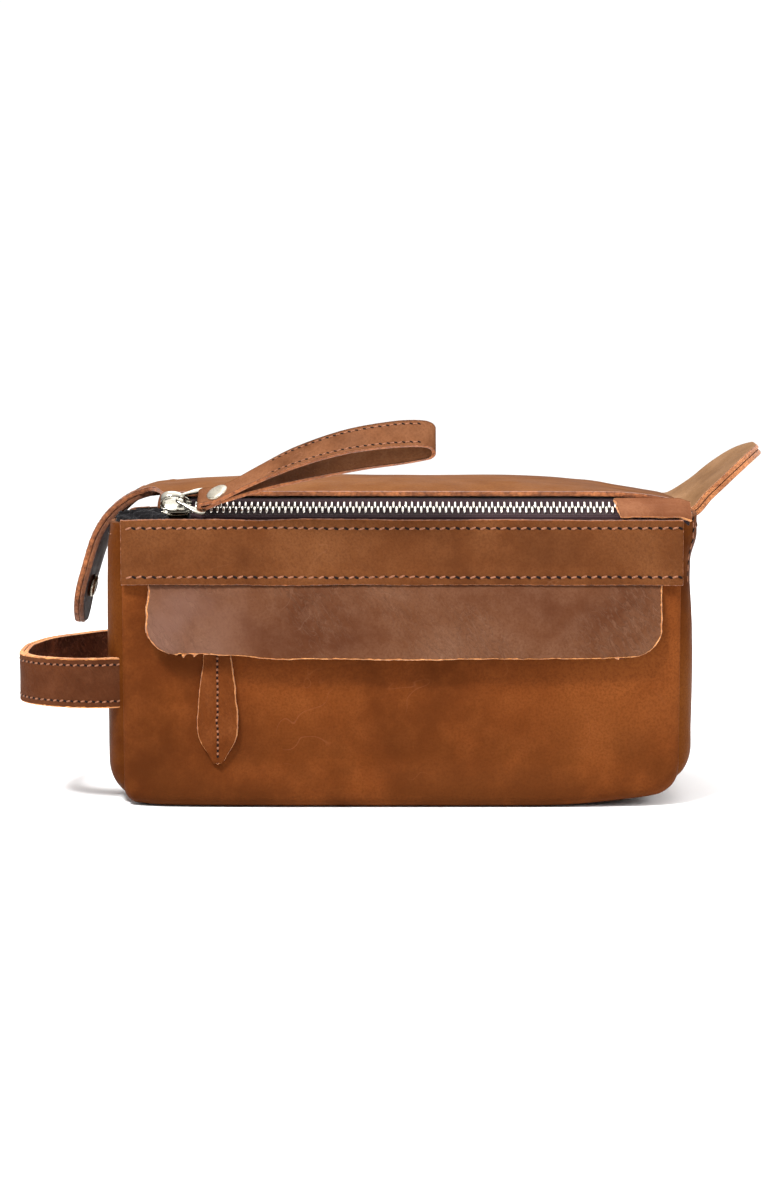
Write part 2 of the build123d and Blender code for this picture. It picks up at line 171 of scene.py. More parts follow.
def facing(n, p, face):
    """True where normals n point against the side that faces face, a direction or "out" from the middle."""
    if isinstance(face, str):
        axes = tuple(range(p.ndim - 1))
        return float(np.sum(n * (p - p.mean(axis=axes)))) < 0
    return float(np.sum(n * np.asarray(face, float))) < 0


def add_lip(place, s, t, lip):
    """Extra grid lines a cut edge's width from each side."""
    def widen(values, point):
        first = np.linalg.norm(point(values[1]) - point(values[0]))
        last = np.linalg.norm(point(values[-1]) - point(values[-2]))
        a = values[0] + (values[1] - values[0]) * min(0.6, lip / max(first, 1e-6))
        b = values[-1] - (values[-1] - values[-2]) * min(0.6, lip / max(last, 1e-6))
        return np.concatenate([values[:1], [a], values[1:-1], [b], values[-1:]])

    mid_s, mid_t = np.array([s[len(s) // 2]]), np.array([t[len(t) // 2]])
    wide = widen(s, lambda v: place(np.array([v]), mid_t)[0])
    tall = widen(t, lambda v: place(mid_s, np.array([v]))[0])
    return wide, tall


def sheet(name, place, s, t, thick, mats, face, rim=0.3, rough=0.12, lip=0.0):
    """A slab of leather or cloth. place(S, T) gives its outer side; mats are for outside, inside and cut edge.

    rim is how far the cut edge swells, rough how uneven it is, and lip the width of the worn line beside it.
    """
    seed = 1
    if lip:
        s, t = add_lip(place, s, t, lip)
    grid_s, grid_t = np.meshgrid(s, t)
    p = place(grid_s, grid_t)
    n = unit(np.cross(np.gradient(p, axis=1), np.gradient(p, axis=0)))
    flip = facing(n, p, face)
    n = -n if flip else n
    q = p - n * thick
    rows, cols = p.shape[:2]
    if lip:
        along = np.arange(max(rows, cols)) * 0.9
        for line, row in ((0, 1), (-1, -2)):
            p[row] += (p[line] - p[row]) * 0.45 * noise2(along[:cols], line + 3, seed)[:, None]
            p[:, row] += (p[:, line] - p[:, row]) * 0.45 * noise2(along[:rows], line + 9, seed)[:, None]
        drop = np.zeros((rows, cols, 1))
        drop[0], drop[-1], drop[:, 0], drop[:, -1] = 1, 1, 1, 1
        p = p - n * drop * 0.5 * lip
    index = np.arange(rows * cols).reshape(rows, cols)
    quads = np.stack([index[:-1, :-1], index[:-1, 1:], index[1:, 1:], index[1:, :-1]], -1)
    quads = quads.reshape(-1, 4)
    on_lip = np.zeros((rows - 1, cols - 1), int)
    if lip:
        on_lip[0], on_lip[-1], on_lip[:, 0], on_lip[:, -1] = 2, 2, 2, 2
    if flip:
        quads = quads[:, ::-1]
    back = quads[:, ::-1] + rows * cols
    du, dv = unit(np.gradient(p, axis=1)), unit(np.gradient(p, axis=0))
    out = np.zeros_like(p)
    out[0] -= dv[0]
    out[-1] += dv[-1]
    out[:, 0] -= du[:, 0]
    out[:, -1] += du[:, -1]
    out = unit(out)
    loop = np.concatenate([index[0, :], index[1:, -1], index[-1, -2::-1], index[-2:0:-1, 0]])
    flat_p, flat_q, flat_o = (grid.reshape(-1, 3) for grid in (p, q, out))
    rings, steps = [loop], 5
    extra, start = [], 2 * rows * cols
    fuzz = np.arange(len(loop))
    for k in range(1, steps):
        a = math.pi * k / steps
        reach = rim * math.sin(a) + rough * noise2(fuzz * 0.83, k * 1.7, seed) * math.sin(a)
        level = (1 - math.cos(a)) / 2
        extra.append(flat_p[loop] * (1 - level) + flat_q[loop] * level + flat_o[loop] * reach[:, None])
        rings.append(np.arange(start, start + len(loop)))
        start += len(loop)
    rings.append(loop + rows * cols)
    sides = []
    for a, b in zip(rings, rings[1:]):
        strip = np.stack([a, np.roll(a, -1), np.roll(b, -1), b], -1)
        sides.append(strip[:, ::-1] if flip else strip)
    sides = np.concatenate(sides)
    verts = np.concatenate([flat_p, flat_q, *extra])
    faces = np.concatenate([quads, back, sides])
    which = list(on_lip.ravel()) + [1] * len(back) + [2] * len(sides)
    return make(name, verts, faces, mats, which)


def tube(name, path, wide, high, ref, mat, closed=False, sides=12, power=1.0):
    """A bar swept along path; wide is its half size across ref, high its half size along it."""
    p = np.asarray(path, float)
    if closed:
        tangent = unit(np.roll(p, -1, 0) - np.roll(p, 1, 0))
    else:
        tangent = unit(np.gradient(p, axis=0))
    ref = np.broadcast_to(np.asarray(ref, float), p.shape)
    side = unit(np.cross(tangent, ref))
    top = unit(np.cross(side, tangent))
    angle = np.linspace(0, 2 * math.pi, sides, endpoint=False)
    rings = p[:, None]
    for size, wave, way in ((wide, np.cos(angle), side), (high, np.sin(angle), top)):
        size = np.broadcast_to(np.asarray(size, float), len(p))[:, None]
        rings = rings + way[:, None] * (size * np.sign(wave) * np.abs(wave) ** power)[..., None]
    return make(name, rings.reshape(-1, 3), skin(len(p), sides, closed), [mat])


def skin(count, sides, closed=False):
    """Faces between count rings of sides points, with end caps unless the rings close."""
    faces = []
    for i in range(count if closed else count - 1):
        j = (i + 1) % count
        for k in range(sides):
            m = (k + 1) % sides
            faces.append((i * sides + k, i * sides + m, j * sides + m, j * sides + k))
    if not closed:
        faces.append(tuple(range(sides))[::-1])
        faces.append(tuple(range((count - 1) * sides, count * sides)))
    return faces


def blob_template(power, around, along):
    """Rounded block of half size one; a smaller power makes it squarer."""
    verts, faces = [], []
    for i in range(along + 1):
        v = -math.pi / 2 + math.pi * i / along
        for j in range(around):
            u = 2 * math.pi * j / around
            c = [math.cos(v) * math.cos(u), math.sin(v), math.cos(v) * math.sin(u)]
            verts.append([math.copysign(abs(a) ** power, a) for a in c])
    for i in range(along):
        for j in range(around):
            k = (j + 1) % around
            faces.append((i * around + j, (i + 1) * around + j, (i + 1) * around + k, i * around + k))
    return np.array(verts), np.array(faces)


def scatter(name, template, centres, axes, sizes, mats, indices=None):
    """Copies of a template: axes are three unit vectors for each copy, sizes three half sizes."""
    verts, faces = template
    all_verts = [centre + (verts * size) @ way for centre, size, way in zip(centres, sizes, axes)]
    all_faces = [faces + i * len(verts) for i in range(len(centres))]
    if indices is not None:
        indices = np.repeat(indices, len(faces))
    return make(name, np.concatenate(all_verts), np.concatenate(all_faces), mats, indices)


STITCH = blob_template(0.85, 8, 6)


def stitches(name, place, s, t, face, pitch, length, width, slant=0.22, height=0.05):
    """A row of thread stitches with near-black blobs between them, painted shade of the stitch holes, along s, t on
    the side of place that faces face.
    """
    points, normals = on_surface(place, s, t, face)
    run = arc(points)
    count = max(2, int(run[-1] / pitch))
    centres, axes, sizes, which = [], [], [], []
    rng = np.random.default_rng(len(name) * 7 + count)
    for i in range(count):
        middle = (i + 0.5) * run[-1] / count
        c = at(points, middle, run)
        n = unit(at(normals, middle, run))
        way = unit(at(points, middle + 0.8, run) - at(points, middle - 0.8, run))
        side = np.cross(n, way)
        turn = slant + rng.normal(0, 0.05)
        along = unit(way * math.cos(turn) + side * math.sin(turn))
        centres.append(c + n * height + side * rng.normal(0, 0.06))
        axes.append(np.stack([np.cross(along, n), along, n]))
        sizes.append([width, length / 2 * rng.uniform(0.93, 1.05), width * 0.8])
        which.append(0)
        # a near-black blob after each stitch: painted shade of its stitch hole
        lean = unit(way - side * 0.45)
        centres.append(c + way * (run[-1] / count / 2) + n * 0.02)
        axes.append(np.stack([np.cross(lean, n), lean, n]))
        sizes.append([width * 1.12, 0.25 * pitch, 0.24])
        which.append(1)
    return scatter(name, STITCH, centres, axes, sizes, [THREAD, HOLE_SHADE], which)


def on_surface(place, s, t, face):
    """Points of place at s, t, and their normals on the side that faces face."""
    s, t = np.broadcast_arrays(np.asarray(s, float), np.asarray(t, float))
    e = 1e-3
    p = place(s, t)
    n = unit(np.cross(place(s + e, t) - place(s - e, t), place(s, t + e) - place(s, t - e)))
    return p, (-n if facing(n, p, face) else n)


def disc(name, centre, normal, profile, mat):
    """Turned piece: profile is radius and height pairs along normal."""
    sides = 36
    n = unit(np.asarray(normal, float))
    a = unit(np.cross(n, [0.3, 0.9, 0.2]))
    b = np.cross(n, a)
    verts = []
    for r, h in profile:
        for k in range(sides):
            u = 2 * math.pi * k / sides
            verts.append(centre + n * h + (a * math.cos(u) + b * math.sin(u)) * r)
    return make(name, verts, skin(len(profile), sides), [mat])


# bodies on both sides of each joint that bends leather, and where the bend starts and ends, m
BENDS = {
    "left_flap_bend": ("lid", "left_flap", (-0.112, 0, 0.146), (-0.1275, 0, 0.146)),
    "right_flap_bend": ("lid", "right_flap", (0.1285, 0, 0.138), (0.1395, 0, 0.138)),
    "side_handle_swing": ("bag", "side_handle", (-0.1315, 0, 0.057), (-0.141, 0, 0.057)),
    "pocket_flap_bend": ("bag", "pocket_cover", (0, -0.060, 0.1022), (0, -0.060, 0.0985)),
}


def put(obj, where, nodes=(), slot=None):
    """Attach obj to the body it rides on, or only bake its transform where it lies across a bending joint, and hide
    its CAD nodes; slot is not used.
    """
    if where in BENDS:
        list(BENDS[where])
        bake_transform(obj)
    else:
        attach(obj, where)
    if nodes:
        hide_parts(*nodes)
    return obj


# ---------------------------------------------------------------- materials
class Shader:
    """Short way to write a node tree."""

    def __init__(self, name):
        self.mat = bpy.data.materials.new(name)
        self.mat.use_nodes = True
        self.tree = self.mat.node_tree
        self.bsdf = self.tree.nodes["Principled BSDF"]
        self.coord = self.tree.nodes.new("ShaderNodeTexCoord").outputs["Object"]

    def node(self, kind):
        return self.tree.nodes.new("ShaderNode" + kind)

    def plug(self, source, socket):
        if isinstance(source, bpy.types.NodeSocket):
            self.tree.links.new(source, socket)
        else:
            socket.default_value = source

    def noise(self, scale, detail=3.0, rough=0.5, distort=0.0, stretch=None, turn=0.0):
        n = self.node("TexNoise")
        vector = self.coord
        for key, value in (("Rotation", turn and (0, turn, 0)), ("Scale", stretch)):
            if value:
                m = self.node("Mapping")
                m.inputs[key].default_value = value
                self.plug(vector, m.inputs["Vector"])
                vector = m.outputs["Vector"]
        self.plug(vector, n.inputs["Vector"])
        for key, value in (("Scale", scale), ("Detail", detail), ("Roughness", rough), ("Distortion", distort)):
            n.inputs[key].default_value = value
        return n.outputs["Fac"]

    def cells(self, scale):
        n = self.node("TexVoronoi")
        n.feature = "F1"
        self.plug(self.coord, n.inputs["Vector"])
        n.inputs["Scale"].default_value = scale
        return n.outputs["Distance"]

    def times(self, a, b):
        return self.math("MULTIPLY", a, b)

    def plus(self, a, b):
        return self.math("ADD", a, b)

    def ridge(self, value):
        """Zero along the lines where noise passes its middle."""
        return self.math("ABSOLUTE", self.math("SUBTRACT", value, 0.5))

    def math(self, operation, a, b=0.0):
        n = self.node("Math")
        n.operation = operation
        self.plug(a, n.inputs[0])
        self.plug(b, n.inputs[1])
        return n.outputs[0]

    def remap(self, value, a, b, c=0.0, d=1.0):
        n = self.node("MapRange")
        n.interpolation_type = "SMOOTHSTEP"
        self.plug(value, n.inputs["Value"])
        for key, x in zip(("From Min", "From Max", "To Min", "To Max"), (a, b, c, d)):
            n.inputs[key].default_value = x
        return n.outputs["Result"]

    def ramp(self, value, stops):
        n = self.node("ValToRGB")
        self.plug(value, n.inputs["Fac"])
        while len(n.color_ramp.elements) < len(stops):
            n.color_ramp.elements.new(0.5)
        for element, (place, colour) in zip(n.color_ramp.elements, stops):
            element.position = place
            element.color = (*colour, 1)
        return n.outputs["Color"]

    def mix(self, factor, a, b):
        n = self.node("Mix")
        n.data_type = "RGBA"
        self.plug(factor, n.inputs[0])
        for value, socket in ((a, n.inputs[6]), (b, n.inputs[7])):
            if isinstance(value, tuple) and len(value) == 3:
                value = (*value, 1)
            self.plug(value, socket)
        return n.outputs[2]

    def bump(self, height, distance, strength, under=None):
        n = self.node("Bump")
        n.inputs["Strength"].default_value = strength
        n.inputs["Distance"].default_value = distance
        self.plug(height, n.inputs["Height"])
        if under is not None:
            self.plug(under, n.inputs["Normal"])
        return n.outputs["Normal"]

    def done(self, colour, rough, normal=None, metal=0.0, specular=0.5, sheen=0.0):
        self.plug((*colour, 1) if isinstance(colour, tuple) else colour, self.bsdf.inputs["Base Color"])
        self.plug(rough, self.bsdf.inputs["Roughness"])
        self.bsdf.inputs["Metallic"].default_value = metal
        self.bsdf.inputs["Specular IOR Level"].default_value = specular
        self.bsdf.inputs["Sheen Weight"].default_value = sheen
        if normal is not None:
            self.plug(normal, self.bsdf.inputs["Normal"])
        return self.mat


def tint(colour, times, plus=0.0):
    """A colour made lighter or darker."""
    return tuple(min(1, c * times + plus) for c in colour)


def leather(name, dark, mid, light, mottle=11.0, crease=0.0, rough=0.5, painted_light=None):
    """Waxed pull-up leather: cloudy tone, fine pores, light rubbed lines and, if asked, dense creases.

    The last argument is a colour painted over the others along an axis, from start to stop in m, for painted shade
    and painted sheen.
    """
    sh = Shader(name)
    cloud = sh.noise(mottle, 3.5, 0.55, 0.6)
    tone = sh.ramp(cloud, [(0.30, dark), (0.50, mid), (0.72, light)])
    fine = sh.noise(95.0, 6.0, 0.62)
    tone = sh.mix(sh.remap(fine, 0.35, 0.7, 0.0, 0.34), tone, light)
    speck = sh.noise(900.0, 3.0, 0.7)
    tone = sh.mix(sh.remap(speck, 0.30, 0.62, 0.42, 0.0), tone, dark)
    # painted light: a colour laid in noisy patches over the tone, growing from start to stop along one axis
    if painted_light:
        colour, axis, start, stop = painted_light
        split = sh.node("SeparateXYZ")
        sh.plug(sh.coord, split.inputs[0])
        cover = sh.remap(split.outputs[axis], start, stop)
        painted_light_patches = sh.remap(sh.noise(38.0, 3.0), 0.3, 0.6, 0.25, 0.85)
        tone = sh.mix(sh.times(cover, painted_light_patches), tone, colour)
    line = sh.remap(sh.ridge(sh.noise(23.0, 2.0, 0.45, 0.9)), 0.0, 0.0045, 1.0, 0.0)
    line = sh.times(line, sh.remap(sh.noise(31.0, 2.0), 0.52, 0.66))
    tone = sh.mix(sh.times(line, 0.14), tone, tint(light, 1.5, 0.03))
    pores = sh.cells(780.0)
    tiny = sh.noise(2300.0, 4.0, 0.6)
    height = sh.plus(sh.times(pores, 0.55), sh.times(tiny, 0.6))
    height = sh.math("SUBTRACT", height, sh.times(line, 0.5))
    normal = sh.bump(height, 0.00022, 0.55)
    if crease:
        fold = sh.remap(sh.ridge(sh.noise(1.0, 3.0, 0.5, 0.7, (430.0, 200.0, 105.0), 0.62)), 0.0, 0.05)
        where = sh.remap(sh.noise(16.0, 2.0), 0.36, 0.6)
        depth = sh.times(sh.math("SUBTRACT", 1.0, fold), where)
        tone = sh.mix(sh.times(depth, 0.42 * crease), tone, tint(light, 1.25, 0.01))
        normal = sh.bump(sh.times(fold, where), 0.0007 * crease, 0.75, normal)
    dull = sh.remap(sh.noise(42.0, 4.0), 0.3, 0.75, rough - 0.07, rough + 0.13)
    return sh.done(tone, dull, normal, specular=0.015)


def raw_edge(name, dark, light):
    """Cut edge of leather: fibrous and lighter."""
    sh = Shader(name)
    fibre = sh.noise(620.0, 5.0, 0.7)
    tone = sh.ramp(fibre, [(0.32, dark), (0.62, light)])
    tone = sh.mix(sh.remap(sh.noise(70.0, 3.0), 0.4, 0.7, 0.0, 0.6), tone, dark)
    height = sh.plus(sh.noise(1500.0, 4.0, 0.7), fibre)
    return sh.done(tone, 0.85, sh.bump(height, 0.0006, 0.9), specular=0.2, sheen=0.25)


WAVE = 314.0  # length of a band of Blender's wave texture at scale 1, mm


def cloth(name, colour, pitch, sheen):
    """Plain woven cloth; pitch is the thread distance in mm."""
    sh = Shader(name)
    waves = []
    for direction in ("X", "Z"):
        n = sh.node("TexWave")
        n.bands_direction = direction
        sh.plug(sh.coord, n.inputs["Vector"])
        n.inputs["Scale"].default_value = WAVE / pitch / 2
        n.inputs["Distortion"].default_value = 0.6
        n.inputs["Detail"].default_value = 1.0
        waves.append(n.outputs["Fac"])
    weave = sh.math("MAXIMUM", waves[0], waves[1])
    fuzz = sh.noise(1300.0, 4.0, 0.7)
    tone = sh.mix(sh.remap(weave, 0.2, 0.9, 0.55, 0.0), colour, tint(colour, 0.45))
    tone = sh.mix(sh.remap(fuzz, 0.45, 0.75, 0.0, 0.35), tone, tint(colour, 2.0, 0.01))
    height = sh.plus(weave, sh.times(fuzz, 0.6))
    return sh.done(tone, 0.9, sh.bump(height, 0.00025, 0.8), specular=0.15, sheen=sheen)


def metal(name, colour, rough, dark_blotches=0.12, painted_dark_reflection=0.0):
    """Plated metal with fine rubbing marks; its last argument paints a dark reflection onto the faces that don't look
    up.
    """
    sh = Shader(name)
    # darker cloudy blotches over the colour; the fourth argument sets how strong
    cloud = sh.noise(260.0, 4.0, 0.6)
    tone = sh.mix(sh.remap(cloud, 0.45, 0.75, 0.0, dark_blotches * 2), colour, tint(colour, 0.55))
    marks = sh.noise(1800.0, 3.0, 0.6, 0.0, (1.0, 0.25, 1.0))
    spread = sh.remap(marks, 0.3, 0.7, rough * 0.7, rough * 1.5)
    # painted dark reflection: faces that don't look up get a darker colour
    if painted_dark_reflection:
        way = sh.node("SeparateXYZ")
        sh.plug(sh.node("NewGeometry").outputs["Normal"], way.inputs[0])
        painted_reflection_mask = sh.remap(way.outputs["Z"], -0.3, 0.85, painted_dark_reflection, 0.0)
        tone = sh.mix(painted_reflection_mask, tone, tint(colour, 0.12))
    return sh.done(tone, spread, sh.bump(marks, 0.00003, 0.5), metal=1.0)


def thread(name, colour):
    """Twisted thread."""
    sh = Shader(name)
    twist = sh.noise(2600.0, 2.0)
    tone = sh.mix(sh.remap(twist, 0.35, 0.65), tint(colour, 0.5), colour)
    return sh.done(tone, 0.6, sh.bump(twist, 0.0002, 0.8), specular=0.1)


BODY = leather("body leather", (0.0459, 0.0105, 0.0014), (0.0817, 0.0211, 0.0032), (0.1244, 0.0373, 0.0067))
# the dark colour laid over this leather from 70 mm high down to the floor is painted shade, under the pocket flap and
# towards the bottom
PANEL = leather(
    "front leather", (0.063, 0.0155, 0.0033), (0.1268, 0.0326, 0.007), (0.1922, 0.0558, 0.0131), 9.0,
    painted_light=((0.0538, 0.0144, 0.0033), "Z", 0.070, -0.012),
)
BAND = leather(
    "band leather", (0.0581, 0.0173, 0.0054), (0.1001, 0.0318, 0.0097), (0.1453, 0.0531, 0.0186), 16.0, 0.2
)
# the pale colour laid over the flap's left part, from 60 mm left of the middle outwards, is a painted sheen
FLAP = leather(
    "pocket flap leather", (0.0615, 0.0195, 0.0083), (0.097, 0.0368, 0.0167), (0.1519, 0.0729, 0.0417), 14.0, 0.55,
    0.36, ((0.1348, 0.0682, 0.0482), "X", -0.060, -0.105),
)
TRIM = leather(
    "trim leather", (0.0812, 0.0284, 0.0113), (0.1588, 0.0603, 0.0251), (0.2288, 0.0991, 0.0479), 22.0, 0.25
)
LEAF = leather("leaf leather", (0.056, 0.013, 0.0025), (0.0987, 0.0253, 0.0055), (0.148, 0.0442, 0.0124), 40.0, 0.2)
HANDLE = leather(
    "handle leather", (0.0428, 0.0125, 0.0046), (0.0757, 0.0235, 0.0091), (0.1186, 0.0428, 0.019), 26.0, 0.2
)
# the lid leather is lighter and paler than the front's: painted light and sheen from above on the lid's top
LIDTOP_PAINTED_LIGHT = leather(
    "lid leather", (0.0865, 0.0264, 0.0066), (0.1429, 0.0522, 0.0153), (0.2031, 0.0826, 0.0286), 12.0, 0.0, 0.42
)
# the ear leather, lighter and paler still, is painted light and sheen from above on the up-turned right flap
EARTOP_PAINTED_LIGHT = leather(
    "ear leather", (0.106, 0.049, 0.0194), (0.1855, 0.0953, 0.042), (0.2583, 0.1429, 0.0728), 20.0, 0.0, 0.42
)
INNER = leather(
    "inner leather", (0.0345, 0.014, 0.0084), (0.092, 0.0281, 0.0148), (0.2444, 0.0749, 0.0336), 30.0, 0.9, 0.55
)
TABS = leather("tab leather", (0.1173, 0.0384, 0.0162), (0.169, 0.0631, 0.0289), (0.2208, 0.0923, 0.0452), 40.0, 0.2)
EDGE = raw_edge("raw edge", (0.36, 0.095, 0.018), (0.86, 0.37, 0.11))
STRAPEDGE = raw_edge("raw edge strap", (0.14, 0.036, 0.009), (0.40, 0.130, 0.038))
EAREDGE = raw_edge("raw edge ear", (0.20, 0.060, 0.018), (0.52, 0.20, 0.070))
LIDEDGE = raw_edge("raw edge lid", (0.10, 0.025, 0.007), (0.46, 0.155, 0.050))
DARKEDGE = raw_edge("raw edge dark", (0.075, 0.022, 0.009), (0.23, 0.078, 0.026))
TAPE = cloth("zip tape", (0.0221, 0.008, 0.0106), 0.5, 0.2)
BLACKTAPE = cloth("zip tape end", (0.006, 0.005, 0.006), 0.5, 0.1)
LINING = cloth("lining", (0.030, 0.024, 0.022), 0.7, 0.2)
# the chrome's last number darkens its faces that don't look up: a painted dark reflection
CHROME = metal("zip metal", (0.60, 0.56, 0.47), 0.17, 0.3, 0.95)
TOOTHMETAL = metal("tooth metal", (0.88, 0.85, 0.78), 0.2)
RIVET = metal("rivet metal", (0.50, 0.45, 0.36), 0.34, 0.3)
SNAP = metal("snap metal", (0.60, 0.54, 0.42), 0.28, 0.25)
THREAD = thread("thread", (0.31, 0.130, 0.070))
# near-black stitch holes: painted shade inside the holes
HOLE_SHADE = thread("painted stitch hole shade", (0.007, 0.003, 0.002))

# ---------------------------------------------------------------- body
FRONT_LOW, FRONT_HIGH = span("front_panel")
HALF = FRONT_HIGH[0]
FRONT_Y = FRONT_LOW[1]
BACK_Y = span("back_panel")[1][1]
TOP_Z = FRONT_HIGH[2]
BAND_LOW, BAND_HIGH = span("front_band")
SIDE_X = {-1: 129.2, 1: 127.6}


def drawn_in(x):
    """The ends of the front and back stand a little inside the box, the right one more."""
    return x * np.where(x < 0, SIDE_X[-1], SIDE_X[1]) / HALF


def corner(z, radius):
    """How far a rounded lower corner is cut back at height z."""
    d = np.clip(radius - z, 0, radius)
    return radius - np.sqrt(np.maximum(radius**2 - d**2, 0))


def bottom(x):
    """Height of the bottom: it rises in a soft curve at both ends, the right one more."""
    radius = np.where(x < 0, 6.5, 11.0)
    d = np.clip(np.abs(x) - (HALF - radius), 0, radius) * 0.93
    lift = 4.8 * step(58, 134, x) ** 1.3 + 0.5 * step(108, 130, -x)
    return 0.06 + lift + radius - np.sqrt(radius**2 - d**2)


def spread(count, tight=0.0):
    """Unit steps, closer together at both ends."""
    u = np.linspace(0, 1, count)
    return u - tight * np.sin(2 * math.pi * u) / (2 * math.pi)


FOLDS = (0.36, 0.41, 0.59, 0.64)  # where the front, its lower bend, the bottom and the back bend end


def wrap_place(s, t):
    """Front, bottom and back as one piece of leather; t runs from the front's top edge to the back's."""
    x = -HALF + 2 * HALF * s
    end = step(HALF - 18, HALF, np.abs(x))
    r = 5.0 + np.where(x < 0, 3.0, 6.0) * end
    zb = bottom(x)
    turn = sum(np.clip((t - a) / (b - a), 0, 1) for a, b in (FOLDS[:2], FOLDS[2:]))
    angle = turn * math.pi / 2
    ny, nz = -np.cos(angle), -np.sin(angle)
    down = np.clip(t / FOLDS[0], 0, 1)
    over = np.clip((t - FOLDS[1]) / (FOLDS[2] - FOLDS[1]), 0, 1)
    climb = np.clip((t - FOLDS[3]) / (1 - FOLDS[3]), 0, 1)
    front_c, back_c = FRONT_Y + r, BACK_Y - r
    y = front_c + (back_c - front_c) * over + r * ny
    z = zb + r + r * nz + (TOP_Z - zb - r) * ((1 - down) * (turn == 0) + climb * (turn == 2))
    wall = ny * ny
    middle = 1 - np.abs(x / HALF) ** 5
    bulge = 1.1 * middle * np.exp(-(((z - 38) / 27) ** 2)) * wall
    y = y - 4.4 * middle * step(25, 6, z) * (y < 0) * (1 - over)
    uneven = 0.35 * fbm(x / 55, t * 9, 3) * (1 - np.abs(x / HALF) ** 6) * wall
    roll = np.clip(np.abs(x) - (HALF - 3.2), 0, None) ** 2 * 0.16
    seam = step(HALF - 7, HALF - 1.5, np.abs(x))
    pucker = 0.16 * np.sin(z * 2 * math.pi / SEAM + 2 * noise2(z / 9, 0, 3)) * seam * wall
    out = bulge + uneven - roll + pucker
    return np.stack([drawn_in(x), y + ny * out, z + nz * out * (1 - wall) * 0.4], -1)


t_rows = np.concatenate([
    np.linspace(0, FOLDS[0], 60), np.linspace(*FOLDS[:2], 9)[1:], np.linspace(*FOLDS[1:3], 26)[1:],
    np.linspace(*FOLDS[2:], 9)[1:], np.linspace(FOLDS[3], 1, 50)[1:],
])
put(
    sheet("body_wrap", wrap_place, spread(170, 0.6), t_rows, 2.1, [PANEL, LINING, TRIM], "out", 0.2, lip=0.5),
    "bag", ["front_panel", "base_panel", "back_panel"], "body_leather",
)

# left and right end wall: height at the corners, how much higher its middle is, and its foot
GUSSET_TOP = {-1: (TOP_Z + 0.2, 0.0), 1: (TOP_Z + 2.8, 2.4)}
GUSSET_LOW = {side: float(bottom(np.array(side * (HALF - 0.6)))) + 0.4 for side in (-1, 1)}


def gusset_place(side):
    """An end wall: full at its edges, shallow in the middle where the flap hangs."""
    low, seed = GUSSET_LOW[side], 5 + side
    top, arch = GUSSET_TOP[side]

    def place(s, t):
        u = 2 * s - 1
        z = low + (top + arch * (1 - u**2) - low) * t
        half = (BACK_Y - FRONT_Y) / 2 - 1.3 - corner(z - low, 11.0)
        y = (FRONT_Y + BACK_Y) / 2 + u * half
        rise = np.maximum(1 - np.abs(u) ** 8, 0) ** 0.75
        start = np.maximum(1 - np.clip(1 - (z - low) / 16, 0, 1) ** 2.2, 0) ** 0.6
        if side < 0:
            size = 9.6 - 1.8 * step(116, 131, z) + 0.5 * noise2(z / 30, 2, seed)
            size = size - 5.6 * (1 - step(0.44, 0.66, np.abs(u))) * step(62, 82, z)
        else:
            size = 8.9 - 1.5 * step(80, 108, z) + 3.2 * step(113, 126, z)
            size = size - 5.2 * (1 - step(0.40, 0.62, np.abs(u))) * step(66, 84, z)
        x = SIDE_X[side] - 1.0 + size * rise * start + 0.4 * fbm(y / 38, z / 34, seed) * rise
        x = x + 0.16 * np.sin(z * 2 * math.pi / SEAM) * step(0.84, 0.97, np.abs(u))
        return np.stack([side * x, y, z], -1)

    return place


for side, name in ((-1, "left"), (1, "right")):
    place, face = gusset_place(side), (side, 0, 0)
    walls = [BODY, LINING, TRIM]
    put(
        sheet(f"{name}_end_wall", place, spread(90, 0.85), spread(80, 0.5), 2.1, walls, face, lip=0.6),
        "bag", [f"{name}_gusset"], "body_leather",
    )
    rows = np.linspace(0.74, 0.985, 60)
    for label, rim_s in (("front", 0.045), ("back", 0.955)):
        if side > 0 or label == "back":
            put(stitches(f"{name}_{label}_seam_stitches", place, rim_s, rows, face, SEAM, 3.0, 0.4), "bag")
    hems = [("", 0.05, 0.95)] if side < 0 else [("_front", 0.05, 0.27), ("_back", 0.73, 0.95)]
    for label, first, last in hems:
        rows = np.linspace(first, last, 200)
        put(stitches(f"{name}_hem_stitches{label}", place, rows, 0.955, face, SEAM, 3.0, 0.4), "bag")

BAND_ROWS = (("upper", 128.8), ("lower", 106.4))  # the two stitch rows of the band, mm above the floor


def band_y(x, z):
    """How far forward the band stands: puckered at its edges, sunk along the stitches."""
    edge = step(BAND_LOW[2] + 5, BAND_LOW[2], z) + step(BAND_HIGH[2] - 4, BAND_HIGH[2], z)
    grooves = sum(np.exp(-((z - row) ** 2)) for _, row in BAND_ROWS)
    out = 0.5 * fbm(x / 48, z / 22, 8, 2) - 0.32 * grooves + 0.35 * (1 - edge)
    out = out + 1.2 * step(BAND_LOW[2] + 9, BAND_LOW[2] + 1, z)
    ripple = 0.22 * np.sin(x * 2 * math.pi / SEAM + 2 * noise2(x / 15, 0, 4)) * edge
    roll = np.clip(np.abs(x) - (HALF - 3.6), 0, None) ** 2 * 0.2
    return BAND_LOW[1] - out - ripple + roll


def band_place(s, t):
    x = drawn_in(-HALF - 0.3 + (2 * HALF + 0.9) * s)
    low = BAND_LOW[2] - 0.2 + 0.3 * noise2(x / 26, 3, 9) + 0.06 * noise2(x / 3.0, 5, 9)
    high = BAND_HIGH[2] + 0.35 + 0.35 * noise2(x / 22, 7, 9)
    z = low + (high - low) * t
    return np.stack([x, band_y(x, z), z], -1)


put(
    sheet(
        "front_band_visual", band_place, spread(300, 0.1), spread(40, 0.4), 1.9, [BAND, INNER, STRAPEDGE], FRONT,
        0.25, 0.2, 0.8,
    ),
    "bag", ["front_band"], "body_leather",
)


